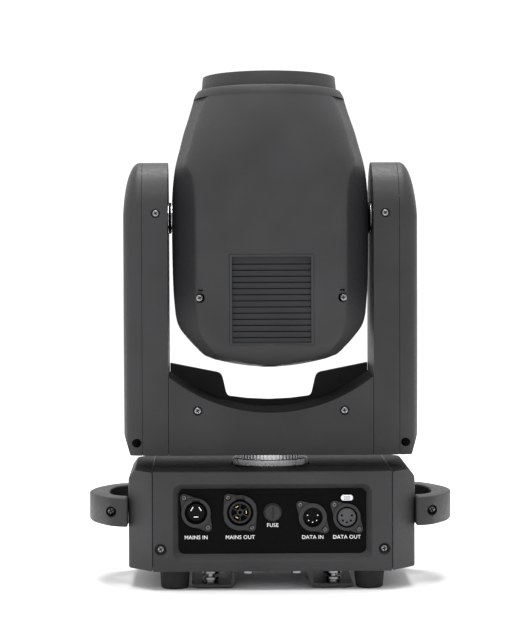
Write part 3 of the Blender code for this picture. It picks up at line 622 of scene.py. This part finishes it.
def make_head_fittings():
    """Casing screws, near-black bars of painted shade for the small slots over the rear ones, and the hub
    bosses on the tilt axis.
    """
    x, z = HEAD_SCREW
    places = [(side * x, 1.9 - head_depth(x, z), z) for side in (-1, 1)]
    screws("head_screws_rear", places, 2.9, TO_REAR, "head", space=HEAD_SPACE)
    slot_x, slot_z = x - 1.4, z + 6
    x = FRONT_SCREW_X
    places = [(side * x, head_depth(x, z) - 1.9, z) for side in (-1, 1) for z in FRONT_SCREW_HEIGHTS]
    screws("head_screws_front", places, 2.9, TO_FRONT, "head", space=HEAD_SPACE)
    hub = [(10.2, 81.4), (12.4, 81.4), (12.9, 81.9), (12.9, 83.2), (12.4, 83.6), (10.2, 83.6)]
    for side, label in SIDES:
        # painted shade: a near-black bar stands for the dark inside of each slot
        slot_shade = box_mesh((-2.6, -0.6, -0.5), (2.6, 0.6, 0.45), 0.2,
                        turn=shift(side * slot_x, -head_depth(slot_x, slot_z), slot_z) @ TO_REAR)
        declare(add(f"painted_slot_shade_{label}", slot_shade, PANEL, HEAD_SPACE), "head")
        boss = turned_mesh(hub, 48, ring=True,
                           turn=shift(0, 0, TILT_AXIS_Z) @ Matrix.Rotation(side * math.pi / 2, 4, "Y"))
        declare(add(f"hub_collar_{label}", boss, PANEL), "yoke")


make_vent_grille()
make_lens_hood()
make_front_lens()
make_head_fittings()


# ---------------------------------------------------------------- yoke
ARM_LOW, ARM_HIGH = limits("arm_cover_right")
YOKE_BOTTOM = ARM_LOW[2]
ARM_HALF = ARM_HIGH[1]
ARM_INNER, ARM_SEAM, ARM_OUTER = ARM_LOW[0], ARM_HIGH[0], limits("arm_side_cover_right")[1][0]
ARM_SCREW = (93.6, 304)
BEAM_SCREW = (60, 142.7)
ARM_PLUG = (110, 116.6)


def arm_outline(half, top, bottom, count=40):
    """The side view of an arm as (y, z): straight sides under a rounded top."""
    crown = arc((0, TILT_AXIS_Z), half, 0, 180, count, (top - TILT_AXIS_Z) / half)
    return [(half, bottom)] + crown + [(-half, bottom)]


def make_arm_channel(side, label):
    """The inner channel of an arm, open towards its outer cover, with a screw on each face."""
    low, high = sorted((side * ARM_INNER, side * ARM_SEAM))
    outline = arm_outline(ARM_HALF, TILT_AXIS_Z + ARM_HALF, YOKE_BOTTOM)
    channel = add(f"arm_channel_{label}", flat_mesh([outline], low, high, TO_SIDE), HOUSING)
    hollow = sorted((side * (ARM_INNER + WALL), side * (ARM_SEAM + 5)))
    inside = arm_outline(ARM_HALF - WALL, TILT_AXIS_Z + ARM_HALF - WALL, YOKE_BOTTOM + WALL)
    room = flat_mesh([inside], *hollow, TO_SIDE)
    hub = flat_mesh([circle((0, TILT_AXIS_Z), 14, 64)], low - 2, high + 2, TO_SIDE)
    way = box_mesh((low - 1, -26, 112), (high + 1, 26, 128))
    x, z = side * ARM_SCREW[0], ARM_SCREW[1]
    faces = ((-1, TO_REAR, "rear"), (1, TO_FRONT, "front"))
    wells = [screw_well(4, 3.2, 1.4, (x, end * (ARM_HALF - 0.5), z), direction)
             for end, direction, _ in faces]
    cut_with(channel, [room, hub, way] + wells)
    soften(channel, 1.1, 3)
    declare(channel, "yoke", (f"arm_cover_{label}",))
    for end, direction, name in faces:
        screws(f"arm_screw_{name}_{label}", [(x, end * (ARM_HALF - 1.4), z)], 2.9, direction, "yoke")


def make_arm_pillow(side, label):
    """The outer cover of an arm, which bulges outwards, with the plug low on its rear edge."""
    rings = []
    steps = 24
    for step in range(steps + 1):
        bulge = math.sin(step / steps * math.pi / 2)
        across = ARM_SEAM + GAP + (ARM_OUTER - ARM_SEAM - GAP) * bulge
        fall = 1 - math.sqrt(max(0, 1 - max(0, (bulge - 0.15) / 0.85) ** 2))
        bottom = YOKE_BOTTOM + max(0, bulge - 0.65) / 0.35 * 17
        outline = arm_outline(ARM_HALF - 15 * fall, TILT_AXIS_Z + ARM_HALF - 40 * fall, bottom)
        rings.append([(side * across, y, z) for y, z in outline])
    pillow = add(f"arm_pillow_{label}", solidified(skin_mesh(rings, caps=(-1,)), WALL), HOUSING)
    seat = (shift(side * ARM_PLUG[0], -ARM_HALF + 1.6, ARM_PLUG[1]) @ TO_REAR
            @ Matrix.Rotation(-side * 0.3, 4, "Y"))
    cut_with(pillow, [flat_mesh([circle((0, 0), 3.6, 32)], -3, 12, seat)])
    pillow.data.set_sharp_from_angle(angle=math.radians(35))
    declare(pillow, "yoke", (f"arm_side_cover_{label}",))
    plug = turned_mesh([(0, -2.2), (3.9, -2.2), (3.9, -3.4), (0, -3.4)], 32, turn=seat)
    declare(add(f"arm_plug_{label}", plug, PANEL), "yoke")


def beam_top(x):
    """Height of the crossbeam's hollowed top at a distance from the middle."""
    middle, end = 141.3, 171
    sweep = (84 ** 2 + (end - middle) ** 2) / (2 * (end - middle))
    return middle + sweep - math.sqrt(sweep ** 2 - x ** 2)


def paint_top_shade(piece, material, steepness, height):
    """Painted shade: give a piece's upward faces a second, darker material where they lie above a height,
    given by x, for the shadow that falls on them.
    """
    piece.data.materials.append(material)
    for face in piece.data.polygons:
        place = face.center / MM
        if face.normal.z > steepness and place.z > height(place.x):
            face.material_index = 1


def make_crossbeam():
    """The rear cover with its hollowed top, the front cover with its two humps, and the beam's screws."""
    half = ARM_INNER - GAP
    steps = [half * i / 40 for i in range(40, -41, -1)]
    outline = [(-half, YOKE_BOTTOM), (half, YOKE_BOTTOM), *((x, beam_top(x)) for x in steps)]
    rear = add("beam_cover_rear", flat_mesh([outline], -41.7, ARM_HALF, TO_REAR), HOUSING)
    floor, wide = YOKE_BOTTOM + 2, 1.1
    inside = [(-half * wide, floor), (half * wide, floor), *((x * wide, beam_top(x) - WALL) for x in steps)]
    room = flat_mesh([inside], -50, ARM_HALF - WALL, TO_REAR)
    post = flat_mesh([circle((0, 0), 32, 96)], 100, 115)
    x, z = BEAM_SCREW
    wells = [screw_well(3.9, 3.2, 1.2, (side * x, -ARM_HALF + 0.6, z), TO_REAR, 20) for side in (-1, 1)]
    cut_with(rear, [room, post] + wells)
    soften(rear, 0.7, 2, 50)
    # painted shade: the hollowed top takes a near-black material for the shadow the head casts on it
    paint_top_shade(rear, BEAM_TOP_SHADE, 0.5, lambda across: beam_top(across) - 1)
    declare(rear, "yoke", ("crossbeam_cover_rear",))

    hump = [(half, 177.6), (44, 169.6), (41.6, 168.6), (40, 166.8), (39, 164), (36.4, 152.6), (35.3, 150.2),
            (33.6, 149.2), (18, 147.2)]
    outline = [(-half, YOKE_BOTTOM), (half, YOKE_BOTTOM), *hump, (0, 146.4), *mirrored(hump)]
    front = add("beam_cover_front", flat_mesh([outline], -ARM_HALF, -42, TO_REAR), HOUSING)
    soften(front, 0.9, 3, 30)
    declare(front, "yoke", ("crossbeam_cover_front",))
    screws("beam_screws_rear", [(side * x, -ARM_HALF + 0.9, z) for side in (-1, 1)], 3, TO_REAR, "yoke")
    screws("beam_screws_front", [(side * x, ARM_HALF - 0.1, z) for side in (-1, 1)], 3, TO_FRONT, "yoke")


for arm in SIDES:
    make_arm_channel(*arm)
    make_arm_pillow(*arm)
make_crossbeam()


# ---------------------------------------------------------------- base
BEZEL_LOW, BEZEL_HIGH = limits("rear_bezel")
BASE_BOTTOM, BASE_TOP = BEZEL_LOW[2], BEZEL_HIGH[2]
BASE_HALF_DEPTH = -BEZEL_LOW[1]
BEZEL_HALF = BEZEL_HIGH[0]
COVER_HALF = limits("side_cover_right")[1][0]
PLATE_Y = limits("connector_plate")[0][1]
BEZEL_SCREW = (90, 33.9)
DISPLAY_LOW, DISPLAY_HIGH = (-66, 38), (6, 74)
FASTENER_X, FASTENER_Y = 50, 54
MENU_BUTTONS = ("menu_button_mode", "menu_button_up", "menu_button_enter", "menu_button_down")


def bezel_wells(end, direction):
    x, z = BEZEL_SCREW
    return [screw_well(4.9, 3.6, 2, (side * x, end * (BASE_HALF_DEPTH - 2.4), z), direction, 20)
            for side in (-1, 1)]


def bezel_screws(name, end, direction):
    x, z = BEZEL_SCREW
    screws(name, [(side * x, end * (BASE_HALF_DEPTH - 3.8), z) for side in (-1, 1)], 3.2, direction, "base")


def make_rear_bezel():
    """The rear face of the base: soft outer edges and a deep window with sloped sides."""
    half, low, high = BEZEL_HALF, BASE_BOTTOM, BASE_TOP
    face, back = -BASE_HALF_DEPTH, BEZEL_HIGH[1]
    # inset, y and corner radius of the outside;
    # then half width, bottom, top, corner radius and y of the window
    outer = [(0, back, 0.6), (0, face + 0.9, 0.6), (0.12, face + 0.5, 0.6), (0.4, face + 0.15, 0.7),
             (0.9, face, 1)]
    window = [(80.6, 24, 87, 7.4, face), (80.1, 24.5, 86.5, 7, face + 0.12),
              (79.75, 24.9, 86.15, 6.8, face + 0.5), (75.95, 29.4, 82.5, 5.2, face + 6),
              (75.75, 29.7, 82.4, 5, face + 6.4), (75.75, 29.7, 82.4, 5, back)]
    rows = [(half - inset, low + inset, high - inset, r, y) for inset, y, r in outer] + window
    loops = [[(x, y, z) for x, z in rectangle((-wide, bottom), (wide, top), r, 8)]
             for wide, bottom, top, r, y in rows]
    bezel = add("bezel_rear", skin_mesh(loops, joined=True), HOUSING)
    cut_with(bezel, bezel_wells(-1, TO_REAR))
    bezel.data.set_sharp_from_angle(angle=math.radians(32))
    declare(bezel, "base", ("rear_bezel",))
    bezel_screws("bezel_screws_rear", -1, TO_REAR)


def node_centre(node):
    """Middle of a CAD node as seen from behind or in front, as (x, z)."""
    low, high = limits(node)
    return (low[0] + high[0]) / 2, (low[2] + high[2]) / 2


def make_front_bezel():
    """The front face of the base with its recessed menu panel, display glass and four buttons."""
    half, face = BEZEL_HALF, BASE_HALF_DEPTH
    back = limits("front_bezel")[0][1]
    loops = [rectangle((-half, BASE_BOTTOM), (half, BASE_TOP)), rectangle(DISPLAY_LOW, DISPLAY_HIGH, 2, 6)]
    loops += [circle(node_centre(name), 5.5, 48) for name in MENU_BUTTONS]
    bezel = add("bezel_front", flat_mesh(loops, -face, -back, TO_REAR), HOUSING)
    recess = flat_mesh([rectangle((-79, 26), (79, 86), 6, 8)], -face - 3, -face + 2, TO_REAR)
    cut_with(bezel, [recess] + bezel_wells(1, TO_FRONT))
    soften(bezel, 0.6, 2, 50)
    declare(bezel, "base", ("front_bezel",))
    bezel_screws("bezel_screws_front", 1, TO_FRONT)
    low, high = limits("display_module")
    inside = rectangle([v + 0.4 for v in DISPLAY_LOW], [v - 0.4 for v in DISPLAY_HIGH], 1.8, 6)
    glass = add("display_glass", flat_mesh([inside], -high[1], -high[1] + 3, TO_REAR), SCREEN)
    declare(soften(glass, 0.4, 2), "base", ("display_module",))
    board = box_mesh(low, (high[0], low[1] + 1.6, high[2]), 0.3)
    declare(add("display_board", board, PANEL), "base")
    profile = [(0, 0), (3.4, -0.12), (4.2, -0.35), (4.7, -0.8), (5, -1.5), (5, -7), (0, -7)]
    for name in MENU_BUTTONS:
        x, z = node_centre(name)
        cap = turned_mesh(profile, 48, turn=shift(x, limits(name)[1][1], z) @ TO_FRONT)
        declare(add(f"{name}_cap", cap, RUBBER), name, (name,))


def make_side_cover(side, label):
    """A moulded end of the base: soft chamfered corners and top edge, hollow behind."""
    near, radius = BASE_HALF_DEPTH - 24, 9
    corner = [(COVER_HALF, near - 6)] + arc((COVER_HALF - radius, near - 6), radius, 8, 40, 6)
    corner += [(BEZEL_HALF + GAP, BASE_HALF_DEPTH)]
    plan = sided([(x, -y) for x, y in reversed(corner)] + corner, side)
    cover = add(f"base_end_{label}", flat_mesh([plan], BASE_BOTTOM, BASE_TOP), HOUSING)
    beyond, above = COVER_HALF + 1, BASE_TOP + 0.1
    slope = [(COVER_HALF - 4.8, above), (beyond, above), (beyond, BASE_TOP - 8)]
    cut_with(cover, [flat_mesh([sided(slope, side)], -90, 90, TO_REAR)])
    apply_modifiers(soften(cover, 1.8, 4, 20))
    inner, outer = sorted((side * (BEZEL_HALF - 5), side * (COVER_HALF - 3)))
    cut_with(cover, [box_mesh((inner, -near, BASE_BOTTOM + 3), (outer, near, BASE_TOP - 12))])
    # painted shade: the flat top of each end takes the near-black base-top colour for the shadow under the
    # yoke
    paint_top_shade(cover, BASE_TOP_SHADE, 0.9, lambda across: BASE_TOP - 1)
    declare(cover, "base", (f"side_cover_{label}",))


def make_handle(side, label):
    """A D-shaped loop beside the base, with a bolt sunk in each end."""
    low, high = limits(f"handle_{label}")
    reach = max(abs(low[0]), abs(high[0]))
    root = COVER_HALF + GAP
    outer = [(root, 64), (120, 63.8), (124, 62.8), (128, 60.6), (131.5, 57.4), (135.5, 51.5), (140, 42.5),
             (144, 33.5), (147, 24.5), (149, 14), (reach, 4)]
    inner = [(root, 44), (120, 42.6), (124, 39.8), (127.6, 35), (130.6, 28), (132.6, 19), (133.4, 8)]
    plan = [(x, -y) for x, y in outer] + list(reversed(outer)) + inner + [(x, -y) for x, y in reversed(inner)]
    handle = add(f"carry_handle_{label}", flat_mesh([sided(plan, side)], low[2], high[2]), HOUSING)
    apply_modifiers(soften(handle, 1.6, 3, 40))
    x, z = side * 130.8, (low[2] + high[2]) / 2
    profile = [(0, 30), (4.6, 30), (4.6, 0.6), (4.2, 0), (4.2, -7), (0, -7)]
    ends = ((TO_REAR, -1, "rear"), (TO_FRONT, 1, "front"))
    cut_with(handle, [turned_mesh(profile, 40, turn=shift(x, end * 56, z) @ turn) for turn, end, _ in ends])
    declare(handle, "base", (f"handle_{label}",))
    for turn, end, where in ends:
        screws(f"handle_bolt_{where}_{label}", [(x, end * 49.9, z)], 3.6, turn, "base", DARK_STEEL)


def make_feet():
    """Tapered rubber feet with a rounded tread edge and a fixing screw sunk in the middle."""
    for end in ("rear", "front"):
        for _, side in SIDES:
            node = f"foot_{end}_{side}"
            low, high = limits(node)
            x, y, top = (low[0] + high[0]) / 2, (low[1] + high[1]) / 2, high[2]
            profile = [(0, top), (12, top), (12.35, top - 0.4), (12.35, top - 2.5), (12.1, top - 3),
                       (11.3, 3.2), (11, 1.7), (10.3, 0.6), (9.2, 0.05), (8.4, 0), (3.6, 0), (3.6, 2.4),
                       (0, 2.4)]
            foot = add(f"rubber_{node}", turned_mesh(profile, 48, turn=shift(x, y, 0)), RUBBER, smooth=35)
            declare(foot, "base", (node,))
            screws(f"{node}_screw", [(x, y, 2.2)], 2.9, TO_FLOOR, "base")


def make_fastener(side, end, label, y, top):
    """A quarter-turn fastener with a slot across its lower face."""
    x = side * FASTENER_X
    profile = [(0, top), (3.2, top), (3.2, 13.2), (6.2, 13.2), (6.6, 12.8), (6.6, 11.4), (6.2, 11), (3.2, 11),
               (3.2, 8.4), (6.1, 8.4), (6.6, 7.9), (6.6, 6.4), (5.4, 5.8), (5.4, 3), (6.6, 2.4), (6.6, 1.8),
               (6.2, 1.4), (0, 1.4)]
    piece = add(f"quarter_turn_{end}_{label}", turned_mesh(profile, 40), STEEL, shift(x, y, 0))
    cut_with(piece, [box_mesh((x - 5, y - 0.7, 0), (x + 5, y + 0.7, 2.6))])
    name = f"bracket_fastener_{end}_{label}"
    declare(piece, name, (name,))


def make_brackets():
    """The folded clamp brackets, their quarter-turn fasteners and the small bolts beside them."""
    for side, label in SIDES:
        node = f"omega_bracket_{label}"
        low, high = limits(node)
        near, far = sorted((abs(low[0]), abs(high[0])))
        top, half = high[2], high[1]
        section = [(near, top), (near, 5.2), *arc((near + 4.2, 5.2), 4.2, 180, 270, 8), (far - 5, 1),
                   (far, 3.4), (far - 1, 4.6), (far - 6, 3.9),
                   *arc((near + 4.6, 5.4), 1.5, 270, 180, 6), (near + 3.1, top)]
        mesh = flat_mesh([sided(section, side)], -half, half, TO_REAR)
        bracket = add(f"clamp_bracket_{label}", mesh, BRACKET)
        cut_with(bracket, [flat_mesh([circle((side * FASTENER_X, y), 7, 40)], -5, 9)
                           for y in (-FASTENER_Y, 0, FASTENER_Y)])
        soften(bracket, 0.5, 2, 45)
        declare(bracket, "base", (node,))
        make_fastener(side, "rear", label, -FASTENER_Y, top)
        make_fastener(side, "front", label, FASTENER_Y, top)
    bolt = turned_mesh([(0, 3), (3.6, 3), (4.4, 2.4), (4.4, 0.2), (0, 0.2)], 32)
    parts = [(bolt, shift(x, y, BASE_BOTTOM) @ TO_FLOOR) for x in (-19.7, 19.7) for y in (-72, 72)]
    declare(add("chassis_bolts", merged(parts), STEEL), "base")


def make_pan_post():
    """The toothed post that the yoke turns round, with a smooth flange under its teeth."""
    low, high = limits("pan_pulley")
    flange, root, tip, bore, step = high[0], 27.4, 29.7, 14, 101
    teeth = 60
    tooth = ((0, root), (0.36, root), (0.46, tip), (0.9, tip))    # share of a pitch, radius
    turns = [(math.tau * (i + share) / teeth, radius) for i in range(teeth) for share, radius in tooth]
    shape = [(radius * math.cos(turn), radius * math.sin(turn)) for turn, radius in turns]
    gear = flat_mesh([shape, circle((0, 0), bore, 64)], step, high[2])
    declare(add("pan_post", gear, BRUSHED, smooth=20), "base", ("pan_pulley",))
    profile = [(bore, step), (flange - 0.6, step), (flange, step - 0.6), (flange, low[2]), (bore, low[2])]
    rim = add("pan_post_flange", turned_mesh(profile, 96, ring=True), BRUSHED, smooth=25)
    declare(rim, "base", ("pan_pulley",))


def make_top_cover():
    """The flat top of the base with the opening round the post, coloured near-black as painted shade for the
    shadow of the yoke and head.
    """
    low, high = limits("base_top_cover")
    mesh = flat_mesh([rectangle(low[:2], high[:2]), circle((0, 0), 33, 96)], low[2], high[2])
    cover = soften(add("base_top_plate", mesh, BASE_TOP_SHADE), 0.5, 2, 50)
    declare(cover, "base", ("base_top_cover",))


make_rear_bezel()
make_front_bezel()
for make in (make_side_cover, make_handle):
    for end in SIDES:
        make(*end)
make_feet()
make_brackets()
make_pan_post()
make_top_cover()


# ---------------------------------------------------------------- connector panel
POWER_LUG, DATA_LUG = (9.5, 12), (9.9, 9.9)                    # a fixing ear's place from the socket's middle


def panel_seat(node):
    """The matrix that puts a part facing out on the connector plate: local X right, Y up, Z outwards."""
    x, z = node_centre(node)
    return shift(x, PLATE_Y - GAP, z) @ TO_REAR


def flattened(radius, half_width, count=96):
    """A circle whose left and right sides are cut flat."""
    return [(max(-half_width, min(half_width, x)), y) for x, y in circle((0, 0), radius, count)]


def tube(outer, inner, low, high, steps=64):
    return flat_mesh([circle((0, 0), outer, steps), circle((0, 0), inner, steps)], low, high)


def socket_body(name, node, ring, bore, lug, floor, half_width=99, notch=0):
    """A panel socket: flange with two fixing ears, raised ring and a dark cup in the panel."""
    seat = panel_seat(node)
    x, y = lug
    ears = hull([((0, 0), ring - 0.6), ((-x, y), 3.2), ((x, -y), 3.2)], 64)
    flange = add(name, flat_mesh([ears, circle((0, 0), bore, 64)], 0, 1.6), SOCKET)
    rim = flat_mesh([flattened(ring, half_width), circle((0, 0), bore, 64)], -0.2, 3.4)
    cut_with(flange, [rim], "UNION")
    tools = [box_mesh((-notch / 2, bore * 0.6, 0.9), (notch / 2, ring - 0.9, 6))] if notch else []
    tools += [turned_mesh([(0, 9), (2.3, 9), (2.3, 0.9), (0, 0.9)], 28, turn=shift(side * x, -side * y, 0))
              for side in (-1, 1)]
    cut_with(flange, tools)
    flange.data.transform(seat)
    soften(flange, 0.35, 2, 45)
    declare(flange, "base", (node,))
    inner, outer = bore - 0.05, bore + 1.2
    cup = [(inner, 1.2), (inner, floor), (0, floor), (0, floor - 1.2), (outer, floor - 1.2), (outer, -0.6),
           (bore + 0.3, -0.6), (bore + 0.3, 1.2)]
    cup = add(f"{name}_cup", turned_mesh(cup, ring=True), SOCKET_DARK, seat)
    declare(cup, "base")
    places = [(side * x, -side * y, 1.5) for side in (-1, 1)]
    screws(f"{name}_screws", places, 1.9, Matrix.Identity(4), "base", DARK_STEEL, seat)
    return seat


def blades(name, places, size, low, high, seat, material):
    """Flat contacts, each at (x, y, turn in degrees)."""
    wide, thick = size[0] / 2, size[1] / 2
    parts = [box_mesh((-wide, -thick, low), (wide, thick, high), 0.12, 1,
                      shift(x, y, 0) @ Matrix.Rotation(math.radians(turn), 4, "Z")) for x, y, turn in places]
    declare(add(name, merged(parts), material, seat), "base")


def make_power_sockets():
    """The locking mains pair: three blades in the input, a spoked core with three contacts in the output."""
    seat = socket_body("mains_in", "power_in_socket", 11.75, 9.2, POWER_LUG, -8, notch=6.6)
    core = turned_mesh([(0, -2.6), (6.9, -2.6), (7.2, -3), (7.2, -8), (0, -8)], 48)
    core = add("mains_in_core", core, SOCKET_DARK)
    cut_with(core, [box_mesh((-2.8, -4.6, -6), (2.8, -2.6, 0))])
    core.data.transform(seat)
    declare(core, "base")
    places = [(-3.3, 2.9, 58), (3.3, 2.9, -58), (0, -3.6, 0)]
    blades("mains_in_blades", places, (3.9, 0.9), -7.9, -0.6, seat, NICKEL)

    seat = socket_body("mains_out", "power_out_socket", 14.2, 10.7, POWER_LUG, -8, half_width=12.9, notch=7.4)
    core = add("mains_out_core", tube(8.7, 7.2, -7.9, 0.6), SOCKET)
    spokes = [box_mesh((2.6, -0.35, -7.8), (7.4, 0.35, -0.6),
                       turn=Matrix.Rotation(math.radians(30 + 60 * i), 4, "Z")) for i in range(6)]
    cut_with(core, [tube(2.8, 1.5, -7.9, 0.2, 40)] + spokes, "UNION")
    core.data.transform(seat)
    declare(core, "base")
    places = [(5 * math.cos(math.radians(a)), 5 * math.sin(math.radians(a)), a + 90) for a in (120, 0, 240)]
    blades("mains_out_contacts", places, (2.6, 0.7), -7.9, -1.6, seat, GOLD)


def make_data_sockets():
    """The data pair: five pins in the input, an insert with five holes and a release tab in the output."""
    turns = [math.radians(angle) for angle in (162, 18, 222, 318, 270)]
    spots = [(4.3 * math.cos(turn), 4.3 * math.sin(turn)) for turn in turns]
    seat = socket_body("data_in", "data_in_socket", 11.25, 8, DATA_LUG, -7)
    pin = turned_mesh([(0, -1), (0.45, -1.075), (0.75, -1.45), (0.75, -6.9), (0, -6.9)], 20)
    pins = merged([(pin, shift(x, y, 0)) for x, y in spots])
    declare(add("data_in_pins", pins, NICKEL, seat), "base")

    seat = socket_body("data_out", "data_out_socket", 11, 8.6, DATA_LUG, -7)
    profile = [(0, 1.9), (6.9, 1.9), (7.4, 1.4), (7.4, -6.9), (0, -6.9)]
    insert = add("data_out_insert", turned_mesh(profile), INSERT)
    hole = [(0, 6), (1.05, 6), (1.05, 1.8), (0.8, 1.5), (0.8, -4.5), (0, -4.5)]
    cut_with(insert, [turned_mesh(hole, 20, turn=shift(x, y, 0)) for x, y in spots])
    insert.data.transform(seat)
    declare(insert, "base")

    low, high = limits("data_out_latch")
    x, z = node_centre("data_out_latch")
    face, back = -low[1], -high[1]
    half, rise = (high[0] - low[0]) / 2, (high[2] - low[2]) / 2
    seat = shift(x, 0, z) @ TO_REAR
    tab = flat_mesh([rectangle((-half, -rise + 0.6), (half, rise), 2.2, 8)], back, face - 0.2, seat)
    tab = soften(add("release_tab", tab, ALUMINIUM), 0.5, 3)
    declare(tab, "data_out_latch", ("data_out_latch",))
    ribs = [box_mesh((-2.6, -0.22 + up, face - 0.25), (2.6, 0.22 + up, face), 0.1, 1, seat)
            for up in (-0.9, 0.1, 1.1)]
    declare(add("release_tab_ribs", merged(ribs), DARK_STEEL), "data_out_latch")


def make_fuse():
    """The fuse holder's collar, and its knurled knob with a slot across it."""
    seat = panel_seat("fuse_holder")
    collar = turned_mesh([(7.35, 1), (7, 1.4), (6.6, 1.4), (6.6, -0.2), (6.1, -0.2), (6.1, -20), (5, -20),
                          (5, -0.9), (7.35, -0.9)], ring=True)
    declare(add("fuse_collar", collar, SOCKET, seat, 35), "base", ("fuse_holder",))
    knurls = 72
    ridges = [(math.tau * i / knurls, 6.3 if i % 3 else 5.95) for i in range(knurls)]
    outline = [(radius * math.cos(turn), radius * math.sin(turn)) for turn, radius in ridges]
    knob = flat_mesh([outline], 0.3, 3.6)
    cap = add("fuse_knob", knob, SOCKET)
    cut_with(cap, [turned_mesh([(0, 1), (4.6, 1), (4.6, -17), (0, -17)], 40)], "UNION")
    slot = box_mesh((-0.7, -4.4, 2.4), (0.7, 4.4, 6))
    dimple = turned_mesh([(0, 6), (1.5, 6), (1.5, 2.6), (0, 2.2)], 24)
    cut_with(cap, [slot, dimple])
    cap.data.transform(seat)
    soften(cap, 0.3, 2, 45)
    declare(cap, "fuse_cap", ("fuse_cap",))


def make_label(name, words, node, drop):
    """Generic words printed on the plate at a drop below a socket, in a plain face."""
    x, z = node_centre(node)
    curve = bpy.data.curves.new(name, "FONT")
    curve.body = words
    curve.align_x = curve.align_y = "CENTER"
    curve.size = 4.278
    curve.space_character = 1.05
    curve.offset = 0.018
    curve.extrude = 0.04
    curve.resolution_u = 4
    guide = linked(name, curve)
    mesh = evaluated_mesh(guide)
    bpy.data.objects.remove(guide, do_unlink=True)
    mesh.transform(Matrix.Scale(MM, 4))
    declare(add(name, mesh, INK, shift(x, PLATE_Y - 0.06, z - drop) @ TO_REAR), "base")


make_power_sockets()
make_data_sockets()
make_fuse()
make_label("label_mains_in", "MAINS IN", "power_in_socket", 20.2)
make_label("label_mains_out", "MAINS OUT", "power_out_socket", 20.2)
make_label("label_data_in", "DATA IN", "data_in_socket", 16.4)
make_label("label_data_out", "DATA OUT", "data_out_socket", 16.4)
make_label("label_fuse", "FUSE", "fuse_holder", 10.6)


# ---------------------------------------------------------------- CAD nodes that stay, with their finishes
for material, nodes in ((PANEL, ("connector_plate",)),
                        (CHASSIS, ("base_chassis", "head_frame")),
                        (ALUMINIUM, ("power_supply", "yoke_frame", "heat_sink")),
                        (BRUSHED, ("tilt_shaft_left", "tilt_pulley", "pan_pinion", "tilt_pinion")),
                        (BELT, ("pan_belt", "tilt_belt")),
                        (MOTOR, ("pan_motor", "tilt_motor", "cooling_fan", "focus_carriage")),
                        (NICKEL, ("colour_wheel", "gobo_wheel")),
                        (LAMP, ("led_engine",))):
    for node in nodes:
        for slot in bpy.data.objects[node].material_slots:
            slot.material = material


# ---------------------------------------------------------------- camera, lights and floor
def stage_floor():
    """A wide, plain, pale floor."""
    material, tree, shader = node_tree("studio_floor")
    tone = ramp(tree, noise(tree, 3, 2).outputs["Fac"], (0.91, 0.91, 0.91), (0.93, 0.93, 0.93))
    tree.links.new(tone, shader.inputs["Base Color"])
    shader.inputs["Roughness"].default_value = 0.9
    shader.inputs["Specular IOR Level"].default_value = 0.1
    reach = 9000
    add("studio_floor", turned_mesh([(0, 0), (600, 0), (reach, 0)]), material)


def area_light(name, place, size, power):
    """A rectangular light that faces the middle of the object."""
    light = bpy.data.lights.new(name, "AREA")
    light.shape = "RECTANGLE"
    light.size, light.size_y = size
    light.energy = power
    lamp = linked(name, light)
    lamp.location = place
    lamp.rotation_euler = (Vector((0, 0, 0.25)) - Vector(place)).to_track_quat("-Z", "Y").to_euler()


def make_lights():
    """A pale surround, a soft light overhead and a little behind, and a high fill on the connector side."""
    area_light("top_softbox", (0, 0.45, 1.7), (1.1, 0.7), 34)
    area_light("high_fill", (-0.2, -1.2, 2.5), (1.2, 0.8), 30)
    world = bpy.data.worlds.new("studio")
    world.use_nodes = True
    background = world.node_tree.nodes["Background"]
    background.inputs["Color"].default_value = (0.97, 0.97, 0.98, 1)
    background.inputs["Strength"].default_value = 1.14
    bpy.context.scene.world = world


def make_camera():
    camera = bpy.data.cameras.new("camera")
    camera.lens = 147.66
    camera.sensor_width = 36
    camera.clip_start = 0.05
    view = linked("camera", camera)
    view.location = (-0.045, -2.184, 0.299)
    view.rotation_euler = (math.radians(87.8), 0.0035, math.radians(-1.03))
    bpy.context.scene.camera = view


bpy.context.scene.view_settings.view_transform = "Standard"
stage_floor()
make_lights()
make_camera()
